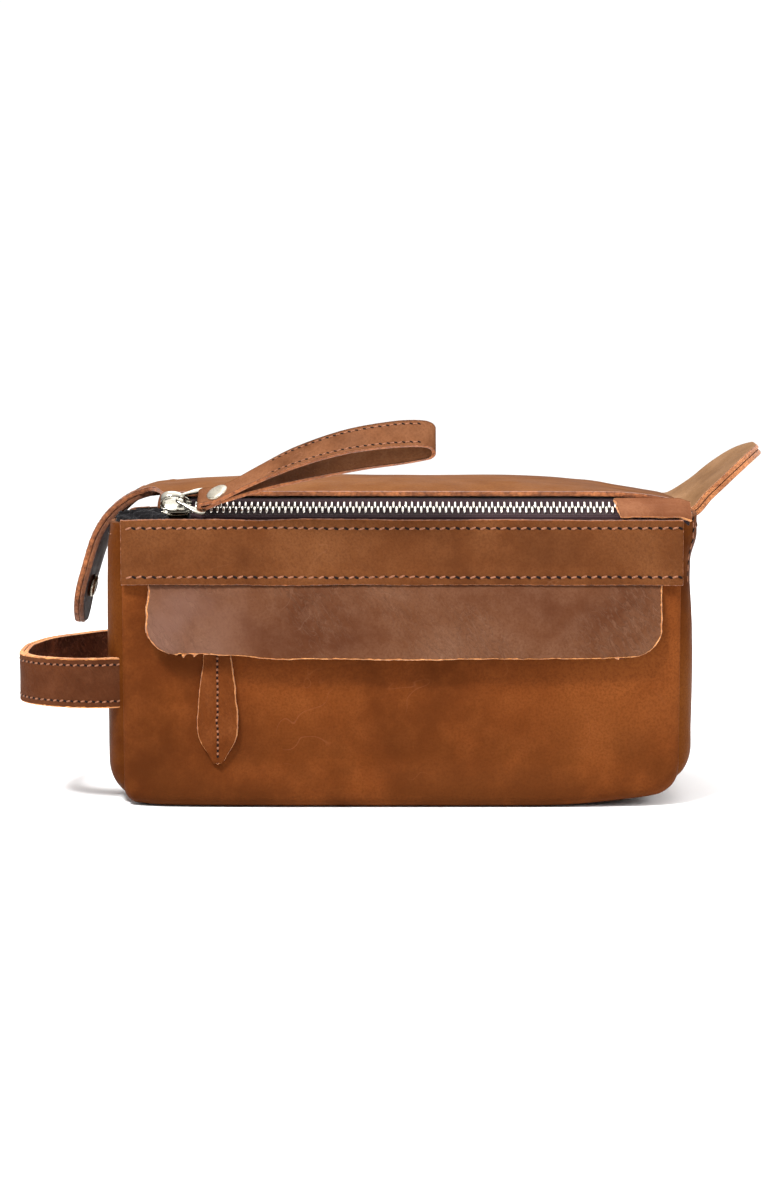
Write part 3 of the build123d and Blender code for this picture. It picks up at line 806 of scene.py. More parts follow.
def band_flat(s, t):
    return np.stack([s, band_y(s, t), t], -1)


for label, z in BAND_ROWS:
    x = np.linspace(-HALF + 2.5, HALF - 3.5, 400)
    rows = z + 0.25 * noise2(x / 30, z, 2)
    put(stitches(f"band_{label}_stitches", band_flat, x, rows, FRONT, SEAM, 2.9, 0.5, 0.30, 0.06), "bag")

# cloth lining of the body, as one open-topped bag
LINE_LOW, LINE_HIGH = span("body_lining")
LINE_MID, LINE_HALF = (LINE_LOW + LINE_HIGH) / 2, (LINE_HIGH - LINE_LOW) / 2


def lining_place(s, t):
    angle = 2 * math.pi * s
    ca, sa = np.cos(angle), np.sin(angle)
    k = 1 / (np.abs(ca) ** 14 + np.abs(sa) ** 14) ** (1 / 14)
    depth = np.clip(t / 0.32, 0, 1)
    wall = np.clip((t - 0.32) / 0.68, 0, 1)
    size = np.sin(depth * math.pi / 2) ** 0.9
    fold = 0.9 * fbm(s * 34, t * 7, 12) * step(0.1, 0.4, t)
    x = LINE_MID[0] + (LINE_HALF[0] * k * size - fold - 0.6 * wall) * ca
    y = LINE_MID[1] + (LINE_HALF[1] * k * size - fold - 0.6 * wall) * sa
    z = LINE_LOW[2] + 0.6 + 1.2 * (1 - np.cos(depth * math.pi / 2)) + (TOP_Z - LINE_LOW[2] - 2.4) * wall
    z = np.maximum(z, bottom(np.clip(x, -HALF, HALF)) + 4.5 + 2.0 * step(0.9, 1.0, depth))
    return np.stack([x, y, z], -1)


t_rows = np.concatenate([np.linspace(0.02, 0.32, 18), np.linspace(0.34, 1, 36)])
put(
    sheet("body_cloth", lining_place, even(181), t_rows, 0.5, [LINING] * 3, "out", 0.1),
    "bag", ["body_lining"], "lining_cloth",
)


def slab(name, node, mat, slot, thick):
    """A flat cloth piece in the box of a CAD node, slightly uneven."""
    low, high = span(node)

    def place(s, t):
        x, z = (low[k] + (high[k] - low[k]) * u for k, u in ((0, s), (2, t)))
        return np.stack([x, low[1] + 0.05 + 0.06 * fbm(s * 14, t * 5, 3), z], -1)

    put(sheet(name, place, even(90), even(24), thick, [mat] * 3, FRONT, 0.1), "bag", [node], slot)


slab("pocket_pouch_cloth", "pocket_pouch", LINING, "lining_cloth", 0.6)
slab("pocket_tape_top", "pocket_tape_upper", TAPE, "zip_tape", 0.45)
slab("pocket_tape_bottom", "pocket_tape_lower", TAPE, "zip_tape", 0.45)

# ---------------------------------------------------------------- zips
TOOTH = blob_template(0.62, 10, 8)
POCKET_Y = sum(end[1] for end in span("pocket_teeth_upper")) / 2
POCKET_Z = span("pocket_slider")[0][2] + 3.6
MAIN_AXES = np.stack([[1.0, 0, 0], ACROSS, UP])
POCKET_AXES = np.array([[1.0, 0, 0], [0, 0, 1], [0, -1, 0]])


def zip_sag(x):
    """How far the main zip lies over or under its straight line."""
    return 0.1 * noise2(x / 42, 1, 6)


def main_zip(x, s):
    return zip_at(x, s, 0.15 + zip_sag(x))


def pocket_zip(x, s):
    return np.array([x, POCKET_Y, POCKET_Z + s])


def teeth(node, body, place, axes, pitch, half, shift, offset):
    """A row of teeth of half size half along a zip, offset to one side of its middle."""
    low, high = span(node)
    rng = np.random.default_rng(3)
    centres, sizes = [], []
    x = low[0] + 0.6 + shift
    while x < high[0] - 0.3:
        centres.append(place(x, offset))
        sizes.append([half[0], half[1] * rng.uniform(0.98, 1.02), half[2]])
        x += pitch
    row = scatter(node + "_metal", TOOTH, centres, [axes] * len(centres), sizes, [TOOTHMETAL])
    put(row, body, [node], "zip_metal")


MAIN_PITCH, MAIN_HALF = 2.83, (0.60, 2.05, 0.92)
POCKET_PITCH, POCKET_HALF = 2.54, (0.52, 1.7, 0.95)
teeth("zip_front_teeth", "bag", main_zip, MAIN_AXES, MAIN_PITCH, MAIN_HALF, 0.0, -1.62)
teeth("zip_rear_teeth", "lid", main_zip, MAIN_AXES, MAIN_PITCH, MAIN_HALF, MAIN_PITCH / 2, 1.62)
teeth("pocket_teeth_upper", "bag", pocket_zip, POCKET_AXES, POCKET_PITCH, POCKET_HALF, 0.0, 1.4)
teeth("pocket_teeth_lower", "bag", pocket_zip, POCKET_AXES, POCKET_PITCH, POCKET_HALF, POCKET_PITCH / 2, -1.4)


def zip_tape(name, node, side, body):
    """Woven tape from under the teeth to where it is sewn in."""
    low, high = span(node)
    if side < 0:
        line = [(-0.2, -0.55), (-2.4, -0.5), (-4.4, -0.35), (-6.0, -0.7), (-7.0, -2.2), (-7.2, -4.2)]
    else:
        line = [(0.2, -0.55), (2.4, -0.5), (4.2, -0.35), (5.9, -0.35), (7.2, -0.6), (8.6, -1.6)]
    path = curve(line, 30)

    def place(s, t):
        x = low[0] - 0.4 + (high[0] - low[0] + 0.4) * s
        across, height = at(path, t, even(30))
        return zip_at(x, across, height + zip_sag(x) + 0.12 * noise2(x / 9, t * 3, 14))

    put(sheet(name, place, even(190), even(26), 0.5, [TAPE] * 3, UP, 0.15), body, [node], "zip_tape")


zip_tape("front_tape", "zip_front_tape", -1, "bag")
zip_tape("rear_tape", "zip_rear_tape", 1, "lid")

tail_low, tail_high = span("zip_tail")


def tail_place(s, t):
    x = tail_low[0] + 3.0 + (tail_high[0] - tail_low[0] + 0.5) * s
    crumple = 0.9 * np.sin(s * 8 + t * 5) + 0.6 * noise2(x / 2.6, t * 6, 3) + 0.5 * noise2(x / 1.1, t * 11, 8)
    a = (-6.4 + 8.6 * t) * (0.7 + 0.3 * s) - 0.8
    return zip_at(x + 0.7 * noise2(t * 7, 4, 2) * (1 - s), a, -1.0 - 1.8 * (1 - s) + crumple)


put(
    sheet("tape_end", tail_place, even(60), even(30), 1.2, [BLACKTAPE] * 3, UP, 0.3, 0.35),
    "lid", ["zip_tail"], "zip_tape",
)

tab_low, tab_high = span("zip_end_tab")


def tab_place(s, t):
    a = -7.2 + 11.4 * t
    start = tab_low[0] - 2.0 + 2.2 * (1 - t) + 0.5 * noise2(t * 9, 2, 5)
    x = start + (tab_high[0] - start + 0.4) * s
    w = 2.4 - step(-5.2, -7.4, a) - 2.4 * step(126, 133, x) + 0.25 * fbm(x / 12, t * 4, 5)
    return zip_at(x, a, w)


put(
    sheet("zip_tab", tab_place, even(60), even(26), 1.6, [TABS, INNER, EDGE], UP, 0.25, 0.15),
    "bag", ["zip_end_tab"], "body_leather",
)

# main slider: shield-shaped plates, flanges and an arch
SX0, SX1 = (end[0] for end in span("zip_slider"))


def plate_place(w, grow):
    """A plate of the main slider: rounded at its left end, square at its right."""
    def place(s, t):
        x = SX0 - 0.3 + (SX1 - SX0 + 0.3) * s
        u = 2 * s - 1
        half = (4.8 - 0.4 * s) * np.maximum(1 - np.abs(np.minimum(u, 0)) ** 2.6, 0.03) ** 0.5
        half = half * np.maximum(1 - np.maximum(u, 0) ** 7, 0.03) ** 0.5 * grow
        v = 2 * t - 1
        raised = 0.45 * np.exp(-(((np.abs(v) - 0.86) / 0.12) ** 2)) - 0.25 * (1 - v**2)
        return zip_at(x, v * half, w + raised)

    return place


plate = sheet("slider_top", plate_place(2.75, 1.0), spread(34, 0.9), even(25), 1.2, [CHROME] * 3, UP, 0.4, 0.0)
put(plate, "main_slider", ["zip_slider"], "zip_metal")
plate = sheet("slider_bottom", plate_place(-1.6, 0.97), spread(26, 0.9), even(17), 1.0, [CHROME] * 3, UP, 0.35, 0.0)
put(plate, "main_slider", (), "zip_metal")
for side in (-1, 1):
    path = zip_at(np.linspace(SX0 + 2.4, SX1 - 0.4, 12), side * np.linspace(4.35, 4.2, 12), 1.2)
    put(tube(f"slider_flange_{side + 1}", path, 0.42, 0.6, UP, CHROME, power=0.7), "main_slider", (), "zip_metal")
path = zip_at(np.linspace(SX0 + 0.2, SX0 + 2.2, 6), 0, 1.9)
wedge = tube("slider_wedge", path, np.linspace(2.1, 0.7, 6), 0.6, UP, CHROME, power=0.7)
put(wedge, "main_slider", (), "zip_metal")
# the arch that holds the ring: x and height over the zip, widest at its left foot
line = curve(
    [
        (-109.6, 2.0), (-110.4, 4.2), (-109.9, 6.6), (-107.6, 8.4), (-104.2, 8.7), (-101.2, 7.6), (-99.9, 5.2),
        (-99.8, 2.0),
    ],
    40,
)
path = zip_at(line[:, 0], 0, line[:, 1])
wide = np.interp(even(40), [0, 0.2, 0.5, 0.8, 1], [2.6, 2.3, 1.7, 1.35, 1.5])
outward = unit(path - zip_at(-105.0, 0, 3.6))
arch = tube("slider_arch", path, wide, 0.62, outward, CHROME, sides=18, power=0.75)
put(arch, "main_slider", (), "zip_metal")

# pull ring: a flat triangular loop through the arch
near_x, far_x = RING_NEAR[0], RING_FAR[0]
corners = [
    (near_x - 0.7, 0.0), (near_x - 0.3, 1.5), (near_x + 2.2, 3.2), (near_x + 6.0, 5.4), (far_x - 1.0, 7.3),
    (far_x + 0.5, 7.0), (far_x + 0.4, 3.2), (far_x + 0.4, 0.0),
]
corners += [(x, -s) for x, s in corners[-2:0:-1]] + [corners[0]]
line = curve(corners, 129)[:-1]
along = np.clip((line[:, 0] - near_x) / (far_x - near_x), 0, 1)
path = zip_at(line[:, 0], line[:, 1], 5.5 - 1.5 * along)
wide = 0.75 + 0.65 * np.exp(-(((along - 0.75) / 0.33) ** 2))
put(tube("pull_ring", path, wide, 0.72, UP, CHROME, True, 16, 0.6), "slider_ring", ["zip_ring"], "zip_metal")

# ---------------------------------------------------------------- wrist loop
# x and height over the zip, once round: rivet, round the ring, up to the far end and back
LOOP = curve(
    [
        (-83.0, 6.4), (-87.0, 4.2), (-90.6, 2.9), (-93.2, 3.6), (-94.0, 5.4), (-92.9, 7.4), (-90.0, 8.2),
        (-86.0, 8.9), (-82.0, 11.0), (-76.0, 14.9), (-66.0, 21.6), (-48.0, 32.4), (-27.0, 41.0), (-6.0, 45.4),
        (6.0, 46.2), (12.0, 45.0), (14.4, 42.0), (13.4, 38.6), (8.0, 36.6), (-20.0, 30.2), (-50.0, 20.6),
        (-68.0, 13.0), (-77.0, 8.9), (-83.0, 6.4),
    ],
    260,
)


def loop_place(s, t):
    """Strap face: s runs along the loop, t across it."""
    x, w = at(LOOP, s * (len(LOOP) - 1))
    twist = np.radians(-6 - 8 * step(-92, -84, x) * (1 - step(-80, -50, x)) + 32 * step(-76, 8, x))
    half = 6.0 - 0.5 * step(-84, -91, x)
    width = np.cos(twist)[..., None] * ACROSS + np.sin(twist)[..., None] * UP
    wobble = 0.18 * noise2(x / 16, t * 2, 7)
    return zip_at(x, 0, w + wobble) + width * ((2 * t - 1) * half)[..., None]


put(
    sheet("wrist_strap_leather", loop_place, even(300), even(15), 1.8, [TRIM, TRIM, STRAPEDGE], "out", 0.3, 0.1),
    "wrist_loop", ["wrist_strap"], "trim_leather",
)
for t, label in ((0.86, "upper"), (0.14, "lower")):
    s = np.linspace(0.215, 0.52, 240)
    put(stitches(f"strap_{label}_stitches", loop_place, s, t, UP, 3.4, 2.2, 0.3, 0.12), "wrist_loop")

RIVET_X = -84.9
CAP = [(0.6, -3.4), (4.6, -3.2), (5.2, -0.1), (5.3, 0.35), (5.05, 0.9), (4.3, 1.25), (2.6, 1.45), (0.4, 1.5)]
p, n = on_surface(loop_place, np.linspace(0.1, 0.4, 301), 0.5, UP)
k = np.argmin(np.abs(p[:, 0] - RIVET_X))
put(disc("rivet_cap", p[k], n[k], CAP, RIVET), "wrist_loop", ["strap_rivet"], "rivet_metal")

# ---------------------------------------------------------------- lid with the left end flap
# height of the lid's crest and of its front edge at stations along x
STATIONS = np.array([-140, -118, -95, -60, 0, 60, 86, 95, 103, 115, 127, 131.5, 133.4, 135.0])
CRESTS = np.array([145.6, 146.2, 147.9, 149.1, 149.3, 148.5, 146.8, 145.8, 144.3, 142.4, 140.2, 138.4, 135.6, 132.0])
FRONTS = np.array([143.9, 144.2, 144.9, 145.0, 144.9, 144.9, 144.9, 144.8, 144.5, 143.3, 140.8, 138.2, 134.8, 131.0])


def lid_height(x, values):
    """CRESTS or FRONTS at any x."""
    line = curve(np.stack([STATIONS, values], 1), 200)
    return np.interp(x, line[:, 0], line[:, 1])


# along the lid from front to back: y, share of the rise to the crest, and share left of the fall to the hem
LID_Y = curve(
    [
        (0, -47.8), (0.10, -36.0), (0.24, -20.0), (0.40, 0.0), (0.56, 20.0), (0.72, 40.0), (0.87, 52.6),
        (1.0, BACK_Y + 0.3),
    ],
    120,
)
LID_UP = curve([(0, 0.0), (0.10, 0.62), (0.24, 0.96), (0.40, 1.0), (0.56, 1.0)], 80)
LID_FALL = curve([(0.50, 1.0), (0.60, 0.995), (0.72, 0.90), (0.87, 0.55), (0.94, 0.26), (1.0, 0.0)], 80)


def lid_point(x, tau):
    """Outer face of the lid; tau runs from its front edge to its back hem."""
    crest, front_z = lid_height(x, CRESTS), lid_height(x, FRONTS)
    y, up, fall = (np.interp(tau, line[:, 0], line[:, 1]) for line in (LID_Y, LID_UP, LID_FALL))
    z_front = front_z + (crest - front_z) * up
    z_back = (TOP_Z - 1.0) + (crest - TOP_Z + 1.0) * fall
    z = np.where(tau < 0.5, z_front, z_back)
    z = z + 0.45 * fbm(x / 50, tau * 4, 21) * np.sin(np.clip(tau, 0, 1) * math.pi)
    return np.stack([x + 0 * z, y, z], -1)


# the left flap from the side: x and z from where the lid ends to its tip
LID_END = -112.0
FLAP_LINE = curve(
    [
        (LID_END, 147.0), (-119.6, 145.9), (-127.4, 143.2), (-134.6, 138.6), (-141.4, 131.8), (-147.2, 121.8),
        (-151.8, 108.0), (-155.6, 94.0), (-157.4, 79.8),
    ],
    120,
)
LEFT_HALF, LEFT_TIP = 25.0, 27  # half width of the flap, and length of its round tip
FLAP_RUN = arc(FLAP_LINE)
FLAP_LENGTH = FLAP_RUN[-1]
LID_SPAN = span("lid_panel")[1][0] + 1.2 - LID_END


def flap_half(d):
    """Half width of the left flap at a distance along it from where the lid ends."""
    taper = np.clip((d - (FLAP_LENGTH - LEFT_TIP)) / LEFT_TIP, 0, 1)
    return LEFT_HALF * (1 - 0.06 * step(8, 60, d)) * np.sqrt(np.maximum(1 - (taper * 0.985) ** 2.6, 0.012))


def lid_s(d):
    """Where s of the lid's leather is at a distance past the lid's end."""
    return (d + LID_SPAN) / (LID_SPAN + FLAP_LENGTH)


def lid_flap_place(s, t):
    """One piece of leather: the lid from its right end to its left, then the flap."""
    d = s * (LID_SPAN + FLAP_LENGTH) - LID_SPAN
    flap_x, flap_z = at(FLAP_LINE, d, FLAP_RUN)
    x = np.where(d < 0, LID_END - d, flap_x)
    xl = np.clip(x, -118.5, 140)
    narrow = step(-3.0, 9.0, d)
    tau_a, tau_b = 0.205 * narrow, 1.0 - 0.405 * narrow
    tau = tau_a + (tau_b - tau_a) * t
    p = lid_point(xl, tau)
    p[..., 0] = x
    dip = (p[..., 2] - lid_height(xl, CRESTS)) * (1 - step(2, 40, d)) * (1 - step(0, 30, d))
    inside = step(-2.0, 12.0, d)
    p[..., 1] = p[..., 1] * (1 - inside) + (2 * t - 1) * flap_half(np.maximum(d, 0)) * inside
    p[..., 2] = np.where(d > 0, flap_z + dip, p[..., 2])
    p[..., 0] = p[..., 0] + 0.5 * noise2(d / 20, t * 2, 33) * step(20, 50, d)
    return p


ends = lid_s(-16)
s_steps = np.concatenate([np.linspace(0, 0.06, 14)[:-1], np.linspace(0.06, ends, 110)[:-1], np.linspace(ends, 1, 84)])
put(
    sheet(
        "lid_leather", lid_flap_place, s_steps, spread(78, 0.3), 2.3, [LIDTOP_PAINTED_LIGHT, INNER, LIDEDGE], TOP, 0.3, 0.3, 0.5
    ),
    "left_flap_bend", ["lid_panel", "left_flap_outer"], "body_leather",
)


def flap_inner_place(s, t):
    """Inner ply of the left flap, lying against the outer one."""
    d = -6.0 + s * (FLAP_LENGTH + 5.4)
    p, n = on_surface(lid_flap_place, lid_s(np.minimum(d, FLAP_LENGTH - 1e-3)), 0.03 + 0.94 * t, TOP)
    half = flap_half(np.maximum(d, 0)) * 0.985
    p[..., 1] = np.where(d < 12, np.clip(p[..., 1], -LEFT_HALF, LEFT_HALF), (2 * t - 1) * half)
    return p - n * 2.45


put(
    sheet(
        "left_flap_lining_ply", flap_inner_place, even(70), spread(40, 0.3), 2.2, [HANDLE, HANDLE, DARKEDGE], TOP,
        0.3, 0.2,
    ),
    "left_flap_bend", ["left_flap_inner"], "inner_leather",
)
for side, label in ((-1, "front"), (1, "back")):
    d = np.linspace(14, FLAP_LENGTH - 12, 160)
    half = flap_half(np.maximum(d, 0))
    t = 0.5 + side * 0.5 * (half - 3.2) / half
    row = stitches(f"left_flap_stitches_{label}", lid_flap_place, lid_s(d), t, (-1, 0, 1), 4.4, 3.4, 0.42, 0.15)
    put(row, "left_flap_bend")


def shoulder_place(s, t):
    """The lid's folded-down corner behind the left flap."""
    tau = 0.70 + 0.295 * s
    top = lid_point(-111.0 + 0 * s, tau)
    a = t * math.pi / 2
    x = -111.0 - 11.0 * np.sin(a)
    z = top[..., 2] - 0.5 - (top[..., 2] - 0.5 - TOP_Z - 0.4) * (1 - np.cos(a)) + 0.3 * noise2(t * 3, s * 2, 5)
    return np.stack([x, np.minimum(top[..., 1], BACK_Y - 0.4), z], -1)


put(
    sheet("lid_corner", shoulder_place, even(30), even(24), 2.0, [LIDTOP_PAINTED_LIGHT, INNER, LIDEDGE], TOP, 0.3, 0.2, 0.5),
    "lid", (), "body_leather",
)


def lid_cloth_place(s, t):
    x, tau, e = -108 + 236 * s, 0.06 + 0.86 * t, 1e-3
    p = lid_point(x, tau)
    n = unit(np.cross(lid_point(x + e, tau) - p, lid_point(x, tau + e) - p))
    return p - n * np.sign(n[..., 2:3]) * 2.6


put(
    sheet("lid_cloth", lid_cloth_place, even(90), even(50), 0.5, [LINING] * 3, TOP, 0.1),
    "lid", ["lid_lining"], "lining_cloth",
)

# ---------------------------------------------------------------- right end flap
# its front and its back side seen from the front, x and z from root to tip
EAR_NEAR = curve(
    [(126.5, 134.6), (133.0, 132.6), (138.6, 135.0), (144.8, 141.9), (154.1, 150.0), (164.4, 158.8), (170.2, 163.2)],
    90,
)
EAR_FAR = curve(
    [(119.0, 138.4), (125.0, 138.2), (131.4, 138.8), (142.3, 145.6), (154.2, 154.2), (162.6, 160.2), (170.2, 163.8)],
    90,
)
EAR_HALF = 23.0


def ear_place_at(depth, shrink):
    """The right end flap, a little twisted: its front side is lower at the root."""
    def place(s, t):
        k = s * (1 - shrink) * (len(EAR_NEAR) - 1)
        taper = np.clip((s * (1 - shrink) - 0.46) / 0.54, 0, 1)
        half = EAR_HALF * (1 - shrink) * np.sqrt(np.maximum(1 - (taper * 0.985) ** 2.5, 0.012))
        y = (2 * t - 1) * half
        mix = (y + EAR_HALF) / (2 * EAR_HALF)

        def centre(i):
            near = at(EAR_NEAR, i)
            return near + (at(EAR_FAR, i) - near) * mix

        x, z = centre(k)
        dx, dz = centre(k + 1) - centre(k - 1)
        size = np.hypot(dx, dz) + 1e-9
        off = 0.9 * (y / EAR_HALF) ** 2 * step(0.4, 0.8, s) + 0.4 * noise2(s * 5, t * 2, 41) - depth
        return np.stack([x - dz / size * off, y, z + dx / size * off], -1)

    return place


EAR_LOW = ear_place_at(0.3, 0.012)
for name, place, thick, mats, lip, node, slot in (
    ("right_flap_leather", ear_place_at(-2.3, 0.0), 2.25, (EARTOP_PAINTED_LIGHT, INNER, EAREDGE), 0.3, "outer", "body_leather"),
    ("right_flap_lining_ply", EAR_LOW, 2.2, (TRIM, TRIM, EAREDGE), 0.0, "inner", "inner_leather"),
):
    ply = sheet(name, place, even(76), spread(44, 0.3), thick, mats, TOP, 0.3, 0.1, lip)
    put(ply, "right_flap_bend", [f"right_flap_{node}"], slot)

# ---------------------------------------------------------------- snaps
SOCKET = [(0.5, 0.0), (5.2, 0.0), (5.5, 0.4), (5.3, 1.5), (4.4, 2.3), (3.1, 2.4), (2.5, 1.7), (2.3, 0.3), (0.4, 0.2)]
STUD = [(0.5, -0.3), (5.0, -0.2), (5.1, 0.3), (4.5, 0.7), (2.3, 0.9), (1.9, 1.2), (2.1, 1.9), (1.6, 2.4), (0.4, 2.55)]
WASHER = [(0.4, 0), (5.0, 0), (5.0, 0.5), (0.4, 0.55)]
d = np.interp(-98.0, -FLAP_LINE[:, 1], FLAP_RUN)
p, n = on_surface(lid_flap_place, [lid_s(d)], 0.5, LEFT)
socket = disc("left_snap_socket_metal", p[0] - n[0] * 4.7, -n[0], SOCKET, SNAP)
put(socket, "left_flap", ["left_snap_socket"], "snap_metal")
low, high = span("right_snap_socket")
p, n = on_surface(EAR_LOW, np.linspace(0.3, 0.95, 66), 0.5, TOP)
k = np.argmin(np.abs(p[:, 0] - (low[0] + high[0]) / 2))
socket = disc("right_snap_socket_metal", p[k] - n[k] * 2.2, -n[k], SOCKET, SNAP)
put(socket, "right_flap", ["right_snap_socket"], "snap_metal")
for side, name, z in ((-1, "left", 98.0), (1, "right", 102.0)):
    t = (z - GUSSET_LOW[side]) / (sum(GUSSET_TOP[side]) - GUSSET_LOW[side])
    out = np.array([side, 0, 0.0])
    p, n = on_surface(gusset_place(side), [0.5], t, out)
    # the first stud and washer stand for the CAD nodes of both
    studs, washers = (["snap_studs"], ["snap_washers"]) if side < 0 else ((), ())
    put(disc(f"{name}_stud_metal", p[0], out, STUD, SNAP), "bag", studs, "snap_metal")
    put(disc(f"{name}_washer_metal", p[0] - out * 2.9, -out, WASHER, SNAP), "bag", washers, "snap_metal")

# ---------------------------------------------------------------- side handle
HANDLE_LOW, HANDLE_HIGH = span("handle_outer")
# the handle from above, x and y from its near arm to its far one
H_LINE = curve(
    [
        (-127.4, -54.6), (-130.2, -55.2), (-134.0, -56.6), (-139.0, -57.8), (-146.0, -58.4), (-157.4, -57.2),
        (-170.6, -51.4), (-178.2, -42.2), (-180.2, -29.0), (-179.2, -12.0), (-172.6, 12.4), (-162.4, 37.2),
        (-152.6, 53.8), (-144.0, 60.0), (-135.8, 60.4), (-131.6, 59.6), (-129.4, 57.8),
    ],
    220,
)
HANDLE_WIDTH = 23
HANDLE_ROWS = (0.13, 0.87)  # the two stitch rows, as shares of the strap's width


def handle_place_at(depth):
    """A ply of the side handle, depth under its outer face."""
    def place(s, t):
        i = s * (len(H_LINE) - 1)
        x, y = at(H_LINE, i)
        dx, dy = at(H_LINE, i + 1) - at(H_LINE, i - 1)
        size = np.hypot(dx, dy) + 1e-9
        low = HANDLE_LOW[2] + 0.5 + 1.6 * np.sin(s * math.pi) ** 2
        high = HANDLE_HIGH[2] + 0.3 * noise2(s * 9, 2, 3) + 1.7 * np.exp(-(((s - 0.56) / 0.2) ** 2))
        rows = sum(np.exp(-(((t - r) * HANDLE_WIDTH / 0.9) ** 2)) for r in HANDLE_ROWS)
        off = -depth + 0.25 * noise2(s * 22, t * 2, 6) - 0.25 * rows * (depth == 0)
        return np.stack([x + dy / size * -off, y + dx / size * off, low + (high - low) * t], -1)

    return place


HANDLE_OUT = handle_place_at(0)
put(
    sheet("handle_leather", HANDLE_OUT, even(190), even(32), 2.1, [HANDLE, INNER, EDGE], LEFT, 0.3, 0.2, 0.5),
    "side_handle_swing", ["handle_outer"], "trim_leather",
)
put(
    sheet(
        "handle_lining_ply", handle_place_at(2.25), np.linspace(0.003, 0.997, 190), np.linspace(0.01, 0.99, 24), 1.9,
        [INNER, INNER, EDGE], LEFT, 0.3, 0.2,
    ),
    "side_handle_swing", ["handle_inner"], "inner_leather",
)
for t in HANDLE_ROWS:
    s = np.linspace(0.012, 0.988, 400)
    row = stitches(f"handle_stitches_{int(t * 100)}", HANDLE_OUT, s, t, LEFT, 3.3, 2.1, 0.42, 0.3, 0.06)
    put(row, "side_handle_swing")

# ---------------------------------------------------------------- pocket flap, slider and leaf
FLAP_LOW, FLAP_HIGH = span("pocket_flap")
POCKET_FLAP_HEIGHT, POCKET_FLAP_CORNER = 33.2, 14.0


def pocket_flap_place(s, t):
    """t runs from the free edge up to where the flap is sewn under the band."""
    z = FLAP_LOW[2] - 0.2 + POCKET_FLAP_HEIGHT * t
    cut = corner(z - FLAP_LOW[2] + 0.2, POCKET_FLAP_CORNER)
    left = FLAP_LOW[0] - 0.2 + cut + 0.8 * step(92, 102, z) + 0.3 * noise2(z / 4, 1, 3)
    right = FLAP_HIGH[0] + 0.2 - cut + 0.3 * noise2(z / 4, 9, 3)
    x = left + (right - left) * s
    rise = 2.4 * step(-50, -98, x) + 0.9 * step(70, 112, x) - 0.5
    z = z + (1 - t) ** 3 * (rise + 0.35 * noise2(x / 14, 3, 3) + 0.16 * noise2(x / 2.6, 8, 3))
    stand = 6.9 * (1 - t) ** 0.62 * (1 - 0.25 * step(60, 118, np.abs(x)))
    y = FRONT_Y - 1.3 - stand - 0.3 * fbm(x / 26, z / 20, 19) * step(0, 0.5, 1 - t)
    return np.stack([x, y, z], -1)


put(
    sheet(
        "pocket_flap_leather", pocket_flap_place, spread(240, 0.25), spread(46, 0.4), 2.0, [FLAP, INNER, EDGE], FRONT,
        0.4, 0.25, 0.55,
    ),
    "pocket_flap_bend", ["pocket_flap"], "flap_leather",
)

PS_LOW, PS_HIGH = span("pocket_slider")
PX, PZ = (PS_LOW[0] + PS_HIGH[0]) / 2, (PS_LOW[2] + PS_HIGH[2]) / 2
BRIDGE_Y = -59.95


def pocket_plate(y):
    """A plate of the pocket slider, at y."""
    def place(s, t):
        half = 3.5 * np.sqrt(np.maximum(1 - np.abs(2 * s - 1) ** 5, 0.02))
        x = PS_LOW[0] + (PS_HIGH[0] - PS_LOW[0]) * s
        return np.stack([x, y + 0 * x, PZ + (2 * t - 1) * half], -1)

    return place


for label, y, thick, nodes in (("front", -57.9, 0.9, ["pocket_slider"]), ("back", -53.8, 0.7, ())):
    plate = sheet(
        f"pocket_slider_{label}", pocket_plate(y), spread(20, 0.9), even(12), thick, [CHROME] * 3, FRONT, 0.25, 0
    )
    put(plate, "small_slider", nodes, "zip_metal")
bridge = [(-4.0, -57.8), (-3.9, -59.4), (-2.6, BRIDGE_Y), (0, -60.05), (2.6, BRIDGE_Y), (3.9, -59.4), (4.0, -57.8)]
path = [(PX + a, b, PZ) for a, b in curve(bridge, 24)]
arch = tube("pocket_slider_arch", path, 0.85, 0.42, (0, -1, 0.001), CHROME, power=0.8)
put(arch, "small_slider", (), "zip_metal")
low, high = span("pocket_zip_stops")
centres = [np.array([low[0] + 1, (low[1] + high[1]) / 2, PZ + k * 1.5]) for k in (-1, 1)]
stops = scatter("pocket_stop_metal", TOOTH, centres, [np.eye(3)] * 2, [[1.0, 1.0, 1.1]] * 2, [CHROME])
put(stops, "bag", ["pocket_zip_stops"], "zip_metal")

LEAF_TOP, LEAF_LENGTH = 84.5, 64.4
# the leaf's outline, height and half width
LEAF_LINE = curve(
    [
        (LEAF_TOP, 2.6), (80.0, 4.3), (70.0, 6.0), (58.0, 7.6), (46.0, 8.9), (39.0, 9.2), (33.0, 8.6), (28.4, 6.8),
        (24.4, 4.4), (21.4, 2.6), (20.0, 0.9),
    ],
    90,
)


def leaf_place_at(y0, grow, sink):
    """A ply of the leaf puller; sink is how deep its stitches pull it in."""
    def place(s, t):
        z = LEAF_TOP - LEAF_LENGTH * s
        half = np.interp(-z, -LEAF_LINE[:, 0], LEAF_LINE[:, 1]) * grow
        u = 2 * t - 1
        x = PX + u * half + 0.25 * noise2(z / 5, 3 + u * 3, 2)
        y = y0 - 1.4 * step(72, 38, z) - 0.55 * (1 - u**2)
        y = y + sink * np.exp(-((u * half) ** 2)) + 0.25 * noise2(z / 13, u, 5)
        return np.stack([x, y, z], -1)

    return place


